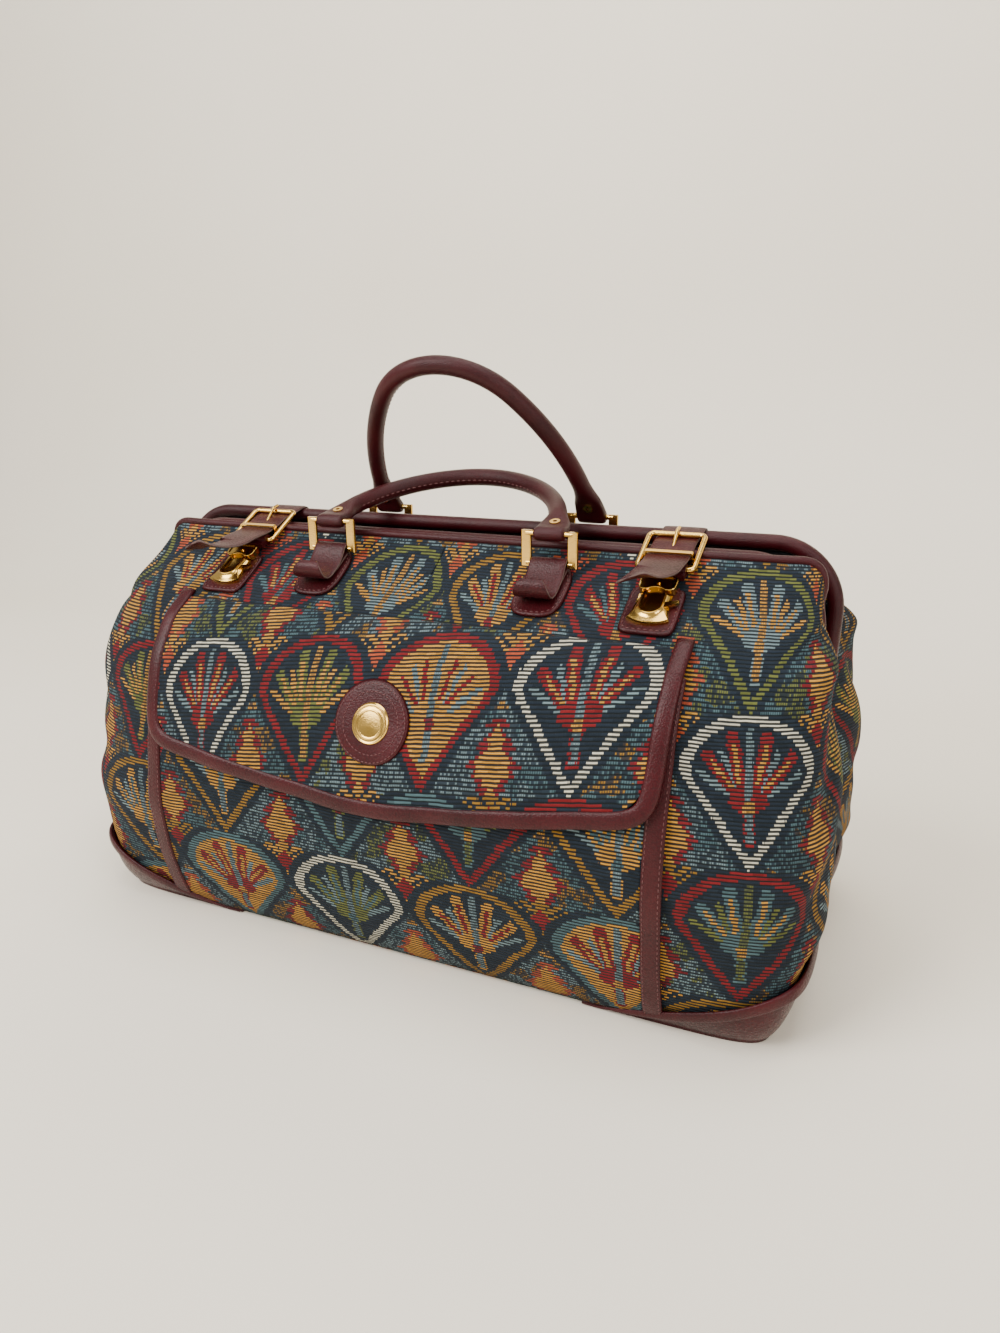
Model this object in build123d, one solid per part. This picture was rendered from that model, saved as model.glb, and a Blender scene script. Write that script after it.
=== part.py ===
from build123d import *
import math
import os
from functools import cache

# Framed carpet bag: a stuffed tapestry body under two hinged mouth frames, closed by two buckled
# straps with drop-in locks, with two rolled handles, a front flap pocket and leather corner boots.
# Millimetres. Origin on the floor under the middle of the bag, X along it, -Y its front, +Z up.

os.makedirs("parts", exist_ok=True)

# Body
BODY_HEIGHT = 283.0
HALF_LENGTH = 287.0
HALF_DEPTH = 139.0
CLOTH = 3.0
END_FOLD = 24.0
FOLD_WIDTH = 38.0
SECTION_STEPS = 20
HALVINGS = 24
# Shares of the height, half length, half depth and end fold, then the corner power of the plan
SECTION_SHARES = [
    (0.000, 0.900, 0.830, 0.00, 9.0),
    (0.035, 0.918, 0.872, 0.03, 8.0),
    (0.140, 0.951, 0.942, 0.15, 7.0),
    (0.320, 0.986, 1.000, 0.45, 6.0),
    (0.495, 1.000, 0.984, 0.90, 5.5),
    (0.636, 0.988, 0.918, 1.00, 5.5),
    (0.760, 0.962, 0.800, 0.95, 5.5),
    (0.848, 0.938, 0.619, 0.80, 6.0),
    (0.905, 0.914, 0.417, 0.55, 6.5),
    (0.954, 0.890, 0.266, 0.25, 7.0),
    (1.000, 0.862, 0.137, 0.00, 8.0),
]
SEAM_GAP = 0.3
OVERRUN = 60.0

# Base board and corner boots
BOOT_SKIN = 2.5
BOOT_REACH = 142.0
BOOT_RISE = 46.0
BOOT_SAG_SHARE = 0.34
BOARD = 3.0
BOARD_INSET = 12.0

# Mouth frames
HINGE_HEIGHT = 159.5
SLEEVE_RADIUS = 5.2
BAR_RADIUS = 2.5
BAR_FIT = 0.05
FRAME_CORNER = 42.0
FRONT_FOOT = 250.5
FRONT_HALF = 256.0
FRONT_DROP = 2.0
BACK_FOOT = 261.5
BACK_HALF = 266.0
BACK_RISE = 5.5
BACK_DEPTH = 13.0
EYE_RADIUS = 7.0
EYE_WIDTH = 6.0
RIVET_RADIUS = 2.0
RIVET_FIT = 0.05
RIVET_HEAD = 6.0
RIVET_CROWN = 2.6
RIVET_ROUND_SHARE = 0.8
COLLAR_RADIUS = 4.2
END_PLAY = 0.3
FRONT_SLIT = 16.2
BACK_SLIT = 19.5

# Flap pocket
POCKET_HALF = 183.0
POCKET_FOOT = 8.0
POCKET_TOP = 226.0
POCKET_PUFF = 3.0
STRIP_WIDTH = 13.0
STRIP_PUFF = 4.5
FLAP_HALF = 195.0
FLAP_TAPER = 4.0
FLAP_TOP = 242.0
FLAP_SIDE = 163.0
FLAP_TIP = 125.0
FLAP_SKEW = 14.0
FLAP_CORNER = 18.0
FLAP_HEM = 7.0
FLAP_UNDER = 5.0
FLAP_CLOTH = 3.0
BINDING_WIDTH = 11.0
BINDING_LIP = 0.9
BADGE_HEIGHT = 184.0
PATCH_RADIUS = 27.5
PATCH_LEATHER = 2.0
BADGE_RADIUS = 16.5
BADGE_EDGE = 2.2
BADGE_DOME = 1.3
DOME_SWELL_SHARE = 0.75
BADGE_RIM = 2.4

# Rings, chapes and handles
RING_PLACE = 86.0
RING_WIDTH = 40.0
RING_PITCH = 20.0
RING_BAR = 2.0
RING_SIDE = 7.0
RING_THICK = 3.4
RING_FIT = 0.1
CHAPE_SEAT = 38.5
CHAPE_LEATHER = 2.2
CHAPE_WIDTH = 24.0
CHAPE_LENGTH = 40.0
CHAPE_POINT = 9.0
CHAPE_PATCH_WIDTH = 36.0
CHAPE_PATCH_LENGTH = 50.0
PATCH_REACH = 3.6
HANDLE_RADIUS = 6.4
CUFF_WIDTH = 22.0
CUFF_THICK = 7.0
CUFF_LENGTH = 15.0
CUFF_NECK = 14.0
CUFF_WRAP = 5.2
EYELET_RADIUS = 3.6
EYELET_HOLE = 1.5
EYELET_PROUD = 0.8
FRONT_RISE = 88.0
FRONT_CROWN = 80.0
FRONT_LEAN = 73.0
BACK_HANDLE_RISE = 133.0
BACK_CROWN = 62.0
BACK_LEAN = -36.0

# Closures
CLOSURE_PLACE = 163.0
STRAP_WIDTH = 29.0
STRAP_LEATHER = 2.0
STRAP_LENGTH = 79.0
STRAP_POINT = 10.0
STRAP_SLOPE = 15.0
STRAP_GAP = 1.0
STRAP_HOLE = 1.6
STRAP_HOLE_PLACE = 67.0
ANCHOR_SEAT = 54.0
BUCKLE_WIDTH = 41.0
BUCKLE_BAR = 1.9
BUCKLE_CORNER = 3.5
BUCKLE_TOP = 19.5
BUCKLE_PLAY = 0.3
PRONG_RADIUS = 1.2
PRONG_SLOT = 4.0
PRONG_HOLE = 12.0
PRONG_BEND = 37.0
PRONG_EYE = 1.5
KEEPER_PLACE = 44.0
KEEPER_WIDTH = 3.4
KEEPER_BRASS = 1.2
KEEPER_DEPTH = 5.3
LOCK_SEAT = 62.0
LOCK_PATCH_WIDTH = 36.0
LOCK_PATCH_LENGTH = 42.0
LOCK_PLATE_TOP = 4.5
LOCK_MARGIN = 1.2
LOCK_CORNER = 3.0
SLIDE_HALF_TOP = 9.4
SLIDE_HALF_FOOT = 12.4
SLIDE_UP = 9.0
SLIDE_DOWN = 11.0
SLIDE_BELLY = 4.0
SLIDE_THICK = 3.4
SLIDE_WALL = 1.5
SLIDE_PLAY = 0.25
SLIDE_TRAVEL = 3.0
# Shares of the flare that is left, going up the skirt in equal steps
FLARE_SHARES = (1.0, 0.42, 0.12, 0.0)
EAR_REACH = 16.5
EAR_LOW = -7.0
EAR_HIGH = 5.0
EAR_TIP = 1.3
EAR_THICK = 1.7
EAR_ROUND_SHARE = 0.8
CATCH_FOOT = 8.0
KEY_HALF = 2.2
KEY_LENGTH = 3.0
KEY_DEPTH = 1.6
TONGUE_WIDTH = 9.8
TONGUE_THICK = 1.6
TONGUE_LIFT = 5.1
TONGUE_PLAY = 0.6
TONGUE_UP = 20.0
TONGUE_RIM = 0.8
TONGUE_DISH = 0.5
HASP_WIDTH = 24.0
HASP_FOOT = 11.0
HASP_LENGTH = 13.0
HASP_THICK = 5.4
HASP_CORNER = 4.0
HASP_LIFT = 3.4
HASP_WAIST = 9.0
HASP_DIP = 2.2
HASP_RIM = 1.5
HASP_DISH = 0.7
HASP_SOFTEN = 0.5
HEEL_UP = 32.0
HEEL_LIFT = 7.2
BILLET_LEATHER = 4.2
BILLET_WRAP = 2.0
STUD_RADIUS = 1.4
STUD_RISE = 1.1

SIDES = {"left": -1, "right": 1}
TOP = BOOT_SKIN + BODY_HEIGHT
RIM_DEPTH = HALF_DEPTH * SECTION_SHARES[-1][2]
FRONT_TOP = (-(RIM_DEPTH - CLOTH - SLEEVE_RADIUS - SEAM_GAP), TOP - FRONT_DROP)
BACK_TOP = (BACK_DEPTH, TOP + BACK_RISE)


# Body form
def plan_point(angle, half_length, half_depth, fold, power):
    along = abs(math.cos(angle))
    across = math.sin(angle)
    reach = (along**power + across**power) ** (-1 / power)
    y = half_depth * across * reach
    x = half_length * along * reach - fold * math.exp(-((y / FOLD_WIDTH) ** 2))
    return (math.copysign(x, math.cos(angle)), -y)


def plan_section(row, offset):
    height, length, depth, fold, power = row
    sizes = (HALF_LENGTH * length + offset, HALF_DEPTH * depth + offset, END_FOLD * fold, power)
    turns = [math.pi * step / SECTION_STEPS for step in range(SECTION_STEPS + 1)]
    points = [plan_point(turn, *sizes) for turn in turns]
    skin = Spline(points, tangents=[(0, -1), (0, 1)])
    section = make_face([skin, Line(points[-1], points[0])])
    return Pos(0, 0, BOOT_SKIN + BODY_HEIGHT * height) * section


@cache
def half_body(offset):
    return loft([plan_section(row, offset) for row in SECTION_SHARES])


def half_depth_at(height):
    rows = [(BOOT_SKIN + BODY_HEIGHT * row[0], HALF_DEPTH * row[2]) for row in SECTION_SHARES]
    for (low, deep), (high, shallow) in zip(rows, rows[1:]):
        if height <= high:
            return deep + (shallow - deep) * (height - low) / (high - low)
    return rows[-1][1]


def shoulder_height(depth):
    low, high = HINGE_HEIGHT, TOP
    for _ in range(HALVINGS):
        middle = (low + high) / 2
        low, high = (middle, high) if half_depth_at(middle) > depth else (low, middle)
    return low


def shoulder_plane(x, depth):
    step = PATCH_REACH
    rise = shoulder_height(depth - step) - shoulder_height(depth + step)
    slope = math.atan2(rise, 2 * step)
    normal = (0, -math.sin(slope), math.cos(slope))
    return Plane(origin=(x, -depth, shoulder_height(depth)), x_dir=(1, 0, 0), z_dir=normal)


def prism(plane, sketch, reach=OVERRUN):
    return extrude(plane * sketch, amount=reach, both=True)


def front_prism(sketch):
    return extrude(Plane.XZ * sketch, amount=HALF_DEPTH + OVERRUN)


def layer(block, inner, outer):
    return (block & half_body(outer)) - half_body(inner)


def block(x_range, y_range, z_range):
    spans = [high - low for low, high in (x_range, y_range, z_range)]
    middles = [(low + high) / 2 for low, high in (x_range, y_range, z_range)]
    return Pos(*middles) * Box(*spans)


def whole(half):
    return half + mirror(half, about=Plane.XZ)


def half_shell(slit):
    reach = HALF_LENGTH + OVERRUN
    floor = HINGE_HEIGHT - EYE_RADIUS - RIVET_CROWN
    hollow = block((-reach, reach), (-reach, OVERRUN), (BOOT_SKIN + CLOTH, TOP + OVERRUN))
    mouth = block((-reach, reach), (-slit, slit), (floor, TOP + OVERRUN))
    inside = BOOT_REACH - SEAM_GAP
    floor_pad = block((-inside, inside), (-reach, 0), (0, BOOT_SKIN + CLOTH / 2))
    sagged = half_body(0) + (Pos(0, 0, -BOOT_SKIN) * half_body(0) & floor_pad)
    return sagged - (half_body(-CLOTH) & hollow) - mouth


def body_panels():
    return {
        "front_panel": half_shell(FRONT_SLIT),
        "back_panel": mirror(half_shell(BACK_SLIT), about=Plane.XZ),
    }


def base_board():
    floor = BOOT_SKIN + CLOTH
    reach = HALF_LENGTH + OVERRUN
    slab = block((-reach, reach), (-reach, reach), (floor, floor + BOARD))
    return whole(half_body(-BOARD_INSET)) & slab


def boot_zone(margin):
    end = HALF_LENGTH + OVERRUN
    middle = ((BOOT_REACH + HALF_LENGTH) / 2, BOOT_RISE * BOOT_SAG_SHARE + margin)
    edge = ThreePointArc((BOOT_REACH, margin), middle, (HALF_LENGTH, BOOT_RISE + margin))
    rest = Polyline(
        (HALF_LENGTH, BOOT_RISE + margin),
        (end, BOOT_RISE + margin),
        (end, -OVERRUN),
        (BOOT_REACH, -OVERRUN),
        (BOOT_REACH, margin),
    )
    return extrude(Plane.XZ * make_face([edge, rest]), amount=HALF_DEPTH + OVERRUN, both=True)


def boot(side):
    skin = whole(Pos(0, 0, -BOOT_SKIN) * half_body(BOOT_SKIN))
    cover = (skin & boot_zone(0)) - whole(half_body(SEAM_GAP))
    return cover if side > 0 else mirror(cover, about=Plane.YZ)


# Mouth frames and their hinge rivets
def frame_plane(top):
    rise = top[1] - HINGE_HEIGHT
    lean = math.atan2(top[0], rise)
    normal = (0, -math.cos(lean), math.sin(lean))
    return Plane(origin=(0, 0, HINGE_HEIGHT), x_dir=(1, 0, 0), z_dir=normal), math.hypot(top[0], rise)


def frame_path(foot, half, top, start):
    plane, rise = frame_plane(top)
    lean_in = foot + (half - foot) * start / rise
    corners = [(-lean_in, start), (-half, rise), (half, rise), (lean_in, start)]
    return plane * FilletPolyline(*corners, radius=FRAME_CORNER)


def tube(path, radius, bore=0):
    section = Circle(radius)
    if bore:
        section -= Circle(bore)
    return sweep(Plane(origin=path @ 0, z_dir=path % 0) * section, path=path)


def along_x(radius, start, end, y, z):
    return Plane(origin=(start, y, z), x_dir=(0, 1, 0), z_dir=(1, 0, 0)) * Cylinder(
        radius, end - start, align=(Align.CENTER, Align.CENTER, Align.MIN)
    )


def frame_bar(foot, half, top):
    bar = tube(frame_path(foot, half, top, EYE_RADIUS / 2), BAR_RADIUS)
    for side in SIDES.values():
        ends = sorted((side * (foot - EYE_WIDTH / 2), side * (foot + EYE_WIDTH / 2)))
        bar += along_x(EYE_RADIUS, *ends, 0, HINGE_HEIGHT)
        bar -= along_x(RIVET_RADIUS + RIVET_FIT, *ends, 0, HINGE_HEIGHT)
    return bar


def frame_sleeve(foot, half, top):
    path = frame_path(foot, half, top, EYE_RADIUS + RIVET_CROWN)
    return tube(path, SLEEVE_RADIUS, BAR_RADIUS + BAR_FIT)


def hinge_rivet(side):
    inner = FRONT_FOOT - EYE_WIDTH / 2 - END_PLAY
    outer = BACK_FOOT + EYE_WIDTH / 2 + END_PLAY
    collar = (FRONT_FOOT + EYE_WIDTH / 2 + END_PLAY, BACK_FOOT - EYE_WIDTH / 2 - END_PLAY)
    rivet = along_x(RIVET_RADIUS, inner, outer, 0, HINGE_HEIGHT)
    rivet += along_x(COLLAR_RADIUS, *collar, 0, HINGE_HEIGHT)
    for edge, way in ((inner, -1), (outer, 1)):
        head = along_x(RIVET_HEAD, *sorted((edge, edge + way * RIVET_CROWN)), 0, HINGE_HEIGHT)
        rim = head.edges().filter_by(GeomType.CIRCLE).sort_by(Axis.X)[-1 if way > 0 else 0]
        rivet += fillet(rim, RIVET_CROWN * RIVET_ROUND_SHARE)
    return rivet if side > 0 else mirror(rivet, about=Plane.YZ)


# Flap pocket
def flap_outline(margin):
    half = FLAP_HALF - margin
    foot = half - FLAP_TAPER
    side = FLAP_SIDE + margin
    left, right = side - FLAP_SKEW, side + FLAP_SKEW
    walls = Polyline((foot, right), (half, FLAP_TOP), (-half, FLAP_TOP), (-foot, left))
    sweep_edge = ThreePointArc((-foot, left), (0, FLAP_TIP + margin), (foot, right))
    face = make_face([walls, sweep_edge])
    lower = face.vertices().sort_by(Axis.Y)[:2]
    return fillet(lower, FLAP_CORNER - margin / 2)


def pocket():
    strip_end = POCKET_HALF + STRIP_WIDTH
    height = POCKET_TOP - POCKET_FOOT
    middle = (POCKET_TOP + POCKET_FOOT) / 2
    panel = Pos(0, middle) * Rectangle(2 * POCKET_HALF, height)
    boots = boot_zone(SEAM_GAP) + mirror(boot_zone(SEAM_GAP), about=Plane.YZ)
    parts = {"pocket_panel": layer(front_prism(panel) - boots, SEAM_GAP, POCKET_PUFF)}
    for name, side in SIDES.items():
        strip = Pos(side * (POCKET_HALF + strip_end) / 2, middle) * Rectangle(STRIP_WIDTH, height)
        parts[f"pocket_strip_{name}"] = layer(front_prism(strip) - boots, SEAM_GAP, STRIP_PUFF)
    return parts


def flap():
    face = flap_outline(0)
    inset = flap_outline(BINDING_WIDTH)
    outer = FLAP_UNDER + FLAP_CLOTH
    hem = Pos(0, FLAP_TOP - FLAP_HEM / 2) * Rectangle(2 * (FLAP_HALF - BINDING_WIDTH), FLAP_HEM)
    cloth = layer(front_prism(inset), FLAP_UNDER, outer)
    cloth += layer(front_prism(hem & inset), 0, outer)
    binding = layer(front_prism(face - inset), FLAP_UNDER - BINDING_LIP / 3, outer + BINDING_LIP)
    return {"pocket_flap": cloth, "flap_binding": binding}


def badge():
    outer = FLAP_UNDER + FLAP_CLOTH
    depth = half_depth_at(BADGE_HEIGHT) + outer
    round_patch = Pos(0, BADGE_HEIGHT) * Circle(PATCH_RADIUS)
    patch = layer(front_prism(round_patch), outer, outer + PATCH_LEATHER)
    fall = half_depth_at(BADGE_HEIGHT - BADGE_RADIUS) - half_depth_at(BADGE_HEIGHT + BADGE_RADIUS)
    tilt = math.atan2(fall, 2 * BADGE_RADIUS)
    face = Plane(
        origin=(0, -depth - PATCH_LEATHER, BADGE_HEIGHT),
        x_dir=(1, 0, 0),
        z_dir=(0, -math.cos(tilt), math.sin(tilt)),
    )
    floor = BADGE_EDGE - BADGE_DOME
    dome = ThreePointArc(
        (0, BADGE_EDGE + BADGE_DOME),
        ((BADGE_RADIUS - BADGE_RIM) / 2, BADGE_EDGE + BADGE_DOME * DOME_SWELL_SHARE),
        (BADGE_RADIUS - BADGE_RIM, BADGE_EDGE),
    )
    back = Polyline(
        (BADGE_RADIUS - BADGE_RIM, BADGE_EDGE),
        (BADGE_RADIUS - BADGE_RIM, BADGE_EDGE + BADGE_DOME),
        (BADGE_RADIUS, BADGE_EDGE + BADGE_DOME / 2),
        (BADGE_RADIUS, -floor),
        (0, -floor),
        (0, BADGE_EDGE + BADGE_DOME),
    )
    turned = revolve(Plane.XZ * make_face([dome, back]), axis=Axis.Z)
    return {"badge_patch": patch, "badge": face * turned - half_body(outer + PATCH_LEATHER)}


# Rings, their chapes and the rolled handles
def chape_plane(side):
    return shoulder_plane(side * RING_PLACE, CHAPE_SEAT)


LOOP_BORE = RING_BAR + RING_FIT
LOOP_RADIUS = LOOP_BORE + CHAPE_LEATHER


def chape(side):
    plane = chape_plane(side)
    length = CHAPE_PATCH_LENGTH
    shield = Pos(0, -length / 2 + LOOP_RADIUS) * RectangleRounded(
        CHAPE_PATCH_WIDTH, length, CHAPE_PATCH_WIDTH / 3
    )
    patch = layer(prism(plane, shield), SEAM_GAP, PATCH_REACH)
    half = CHAPE_WIDTH / 2
    tab = Polyline(
        (-half, 0),
        (half, 0),
        (half, CHAPE_POINT - CHAPE_LENGTH),
        (0, -CHAPE_LENGTH),
        (-half, CHAPE_POINT - CHAPE_LENGTH),
        (-half, 0),
    )
    seat = CHAPE_LEATHER + SEAM_GAP
    strap = extrude(plane.offset(seat) * make_face(tab), amount=2 * CHAPE_LEATHER)
    axis = plane.offset(seat + LOOP_RADIUS)
    loop = axis * Rot(0, 90, 0) * (
        Cylinder(LOOP_RADIUS, CHAPE_WIDTH) - Cylinder(LOOP_BORE, CHAPE_WIDTH)
    )
    bore = axis * Rot(0, 90, 0) * Cylinder(LOOP_BORE, CHAPE_WIDTH)
    leather = strap + loop - bore - half_body(PATCH_REACH + SEAM_GAP)
    return {"chape": leather, "chape_patch": patch}


def ring_foot():
    plane = chape_plane(1)
    return plane.offset(CHAPE_LEATHER + SEAM_GAP + LOOP_RADIUS).origin


def ring(side):
    foot = ring_foot()
    height = RING_PITCH + 2 * RING_BAR
    body = Part()
    inside = RING_WIDTH / 2 - RING_SIDE
    for way in SIDES.values():
        bar = Pos(way * (inside + RING_SIDE / 2), 0, RING_PITCH / 2) * Box(RING_SIDE, RING_THICK, height)
        body += fillet(bar.edges().filter_by(Axis.Z), RING_THICK / 3)
    for level in (0, RING_PITCH):
        body += along_x(RING_BAR, -inside - RING_SIDE / 2, inside + RING_SIDE / 2, 0, level)
    return Pos(side * RING_PLACE, foot.Y, foot.Z) * body


def arch(half_span, rise, crown, start):
    side = (half_span**2 + (rise - crown) ** 2 - crown**2) / (2 * (half_span - crown))
    centre = half_span - side
    turn = math.atan2(rise - crown, -centre)
    low = math.asin(start / side)
    knee = (centre + side * math.cos(turn), side * math.sin(turn))
    waist = (low + turn) / 2
    hip = (centre + side * math.cos(waist), side * math.sin(waist))
    foot = (centre + side * math.cos(low), start)
    right = ThreePointArc(foot, hip, knee)
    top = ThreePointArc(knee, (0, rise), (-knee[0], knee[1]))
    left = ThreePointArc((-knee[0], knee[1]), (-hip[0], hip[1]), (-foot[0], foot[1]))
    return Wire([right.edge(), top.edge(), left.edge()])


def handle_plane(lean):
    foot = ring_foot()
    turn = math.radians(lean)
    normal = (0, -math.cos(turn), math.sin(turn))
    depth = foot.Y if lean > 0 else -foot.Y
    return Plane(origin=(0, depth, foot.Z + RING_PITCH), x_dir=(1, 0, 0), z_dir=normal)


def handle(rise, crown):
    neck = CUFF_LENGTH + CUFF_NECK
    grip = tube(arch(RING_PLACE, rise, crown, neck), HANDLE_RADIUS)
    start = arch(RING_PLACE, rise, crown, neck) @ 0
    eyelets = Part()
    rivet = CUFF_LENGTH - EYELET_RADIUS - SEAM_GAP
    for side in SIDES.values():
        foot = Plane(origin=(side * RING_PLACE, CUFF_LENGTH, 0), x_dir=(1, 0, 0), z_dir=(0, 1, 0))
        head = Plane(origin=(side * start.X, neck, 0), x_dir=(1, 0, 0), z_dir=(0, 1, 0))
        flat = RectangleRounded(CUFF_WIDTH, CUFF_THICK, CUFF_THICK / 3)
        grip += loft([foot * flat, head * Circle(HANDLE_RADIUS)])
        tab = extrude(foot * flat, amount=-CUFF_LENGTH)
        wrap = Pos(side * RING_PLACE, 0, 0) * Rot(0, 90, 0) * Cylinder(CUFF_WRAP, CUFF_WIDTH)
        bore = Pos(side * RING_PLACE, 0, 0) * Rot(0, 90, 0) * Cylinder(LOOP_BORE, CUFF_WIDTH)
        pin = Pos(side * RING_PLACE, rivet, 0) * Cylinder(EYELET_HOLE, 2 * CUFF_THICK)
        grip += tab + wrap
        grip -= bore
        grip -= pin
        for way in SIDES.values():
            flange = Cylinder(EYELET_RADIUS, EYELET_PROUD) - Cylinder(EYELET_HOLE, EYELET_PROUD)
            eyelets += Pos(side * RING_PLACE, rivet, way * (CUFF_THICK + EYELET_PROUD) / 2) * flange
    return grip, eyelets


# Closures
def strap_axis():
    return (BACK_TOP[0], BACK_TOP[1] + SLEEVE_RADIUS + SEAM_GAP + STRAP_LEATHER)


def strap_plane(side):
    slope = math.radians(STRAP_SLOPE)
    normal = (0, -math.sin(slope), math.cos(slope))
    return Plane(origin=(side * CLOSURE_PLACE, *strap_axis()), x_dir=(1, 0, 0), z_dir=normal)


def lock_plane(side):
    return shoulder_plane(side * CLOSURE_PLACE, LOCK_SEAT)


def strap_anchor(side):
    inner = SLEEVE_RADIUS + SEAM_GAP
    outer = inner + STRAP_LEATHER
    y, z = BACK_TOP
    wrap = Pos(y, z) * (Circle(outer) - Circle(inner))
    wrap &= Pos(y + outer / 2, z + outer / 2) * Rectangle(outer, outer)
    middle = (inner + outer) / 2
    seat = shoulder_height(ANCHOR_SEAT) + STRAP_LEATHER / 2
    tail = Polyline((y + middle, z), (y + outer, z - inner), (ANCHOR_SEAT, seat))
    profile = wrap + trace(tail, STRAP_LEATHER)
    plane = Plane(origin=(side * CLOSURE_PLACE, 0, 0), x_dir=(0, 1, 0), z_dir=(1, 0, 0))
    body = extrude(plane * profile, amount=STRAP_WIDTH / 2, both=True)
    return body - mirror(half_body(SEAM_GAP), about=Plane.XZ)


def strap(side):
    half = STRAP_WIDTH / 2
    outline = Polyline(
        (-half, -STRAP_GAP),
        (half, -STRAP_GAP),
        (half, STRAP_POINT - STRAP_LENGTH),
        (0, -STRAP_LENGTH),
        (-half, STRAP_POINT - STRAP_LENGTH),
        (-half, -STRAP_GAP),
    )
    under, over = prong_levels()
    climb = (-STRAP_LEATHER / 2 - under) / (over - under)
    slot_middle = -PRONG_BEND + climb * (PRONG_BEND - BUCKLE_TOP - BUCKLE_BAR)
    slot = Pos(0, slot_middle) * SlotOverall(PRONG_HOLE, PRONG_SLOT, 90)
    hole = Pos(0, -STRAP_HOLE_PLACE) * Circle(STRAP_HOLE)
    return extrude(strap_plane(side) * (make_face(outline) - slot - hole), amount=-STRAP_LEATHER)


def heel_place():
    plane = lock_plane(1)
    point = plane.from_local_coords((0, HEEL_UP, HEEL_LIFT))
    local = strap_plane(1).to_local_coords(point)
    return local.Y, local.Z


def buckle(side):
    heel_y, heel_z = heel_place()
    top_z = BUCKLE_BAR + BUCKLE_PLAY
    reach = math.hypot(heel_y + BUCKLE_TOP, heel_z - top_z)
    tilt = math.atan2(top_z - heel_z, -BUCKLE_TOP - heel_y)
    half = BUCKLE_WIDTH / 2 - BUCKLE_BAR
    path = (Pos(0, reach / 2) * RectangleRounded(2 * half, reach, BUCKLE_CORNER)).wire()
    frame = tube(path, BUCKLE_BAR)
    place = strap_plane(side) * Pos(0, heel_y, heel_z) * Rot(math.degrees(tilt), 0, 0)
    return place * frame


def prong_levels():
    under = -STRAP_LEATHER - SEAM_GAP - PRONG_RADIUS
    return under, 2 * BUCKLE_BAR + 2 * BUCKLE_PLAY + PRONG_RADIUS


def prong(side):
    heel_y, heel_z = heel_place()
    under, over = prong_levels()
    eye = BUCKLE_BAR + RING_FIT + PRONG_EYE
    route = FilletPolyline(
        (heel_y + eye - PRONG_RADIUS, heel_z),
        (heel_y + 2 * eye, under),
        (-PRONG_BEND, under),
        (-BUCKLE_TOP - BUCKLE_BAR, over),
        (-BUCKLE_TOP + 2 * BUCKLE_BAR, over),
        radius=PRONG_RADIUS * 2,
    )
    side_view = Plane(origin=(0, 0, 0), x_dir=(0, 1, 0), z_dir=(1, 0, 0))
    pin = tube(side_view * route, PRONG_RADIUS)
    heel = Pos(0, heel_y, heel_z) * Rot(0, 90, 0)
    bore = heel * Cylinder(BUCKLE_BAR + RING_FIT, PRONG_SLOT)
    return strap_plane(side) * (pin + heel * Cylinder(eye, PRONG_SLOT) - bore)


def keeper(side):
    width = STRAP_WIDTH + 2 * SEAM_GAP
    outer = RectangleRounded(width + 2 * KEEPER_BRASS, KEEPER_DEPTH + 2 * KEEPER_BRASS, KEEPER_BRASS)
    loop = extrude(outer - Rectangle(width, KEEPER_DEPTH), amount=KEEPER_WIDTH / 2, both=True)
    lift = SEAM_GAP - KEEPER_DEPTH / 2
    return strap_plane(side) * Pos(0, -KEEPER_PLACE, lift) * Rot(90, 0, 0) * loop


def billet(side):
    plane = lock_plane(side)
    half = STRAP_WIDTH / 2
    start = HASP_FOOT + HASP_LENGTH
    length = HEEL_UP - start
    slab = Pos(0, start + length / 2, HEEL_LIFT) * Box(2 * half, length, BILLET_LEATHER)
    bore = BUCKLE_BAR + RING_FIT
    heel = Pos(0, HEEL_UP, HEEL_LIFT) * Rot(0, 90, 0)
    body = slab + heel * Cylinder(bore + BILLET_WRAP, 2 * half)
    body -= heel * Cylinder(bore, 2 * half)
    gap = 2 * (bore + BILLET_WRAP + SEAM_GAP)
    body -= heel * Box(2 * gap, gap, PRONG_SLOT + 4 * SEAM_GAP)
    return plane * body


def hasp(side):
    middle = HASP_FOOT + HASP_LENGTH / 2
    outline = Pos(0, middle) * RectangleRounded(HASP_WIDTH, HASP_LENGTH, HASP_CORNER)
    outline -= Pos(0, HASP_FOOT + HASP_DIP - HASP_WAIST) * Circle(HASP_WAIST)
    cap = extrude(Plane.XY.offset(HASP_LIFT) * outline, amount=HASP_THICK)
    cap = fillet(cap.edges().group_by(Axis.Z)[-1], HASP_SOFTEN)
    top = HASP_LIFT + HASP_THICK
    cap -= extrude(Plane.XY.offset(top) * offset(outline, -HASP_RIM), amount=-HASP_DISH)
    cap += Pos(0, middle, top - HASP_DISH + STUD_RISE / 2) * Cylinder(STUD_RADIUS, STUD_RISE)
    half = TONGUE_WIDTH / 2
    tip = TONGUE_PLAY - CATCH_FOOT
    blade = Pos(0, (tip + half + TONGUE_UP) / 2) * Rectangle(TONGUE_WIDTH, TONGUE_UP - tip - half)
    blade += Pos(0, tip + half) * Circle(half)
    tongue = extrude(Plane.XY.offset(TONGUE_LIFT) * blade, amount=TONGUE_THICK)
    face = Plane.XY.offset(TONGUE_LIFT + TONGUE_THICK)
    tongue -= extrude(face * offset(blade, -TONGUE_RIM), amount=-TONGUE_DISH)
    return lock_plane(side) * (cap + tongue)


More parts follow.
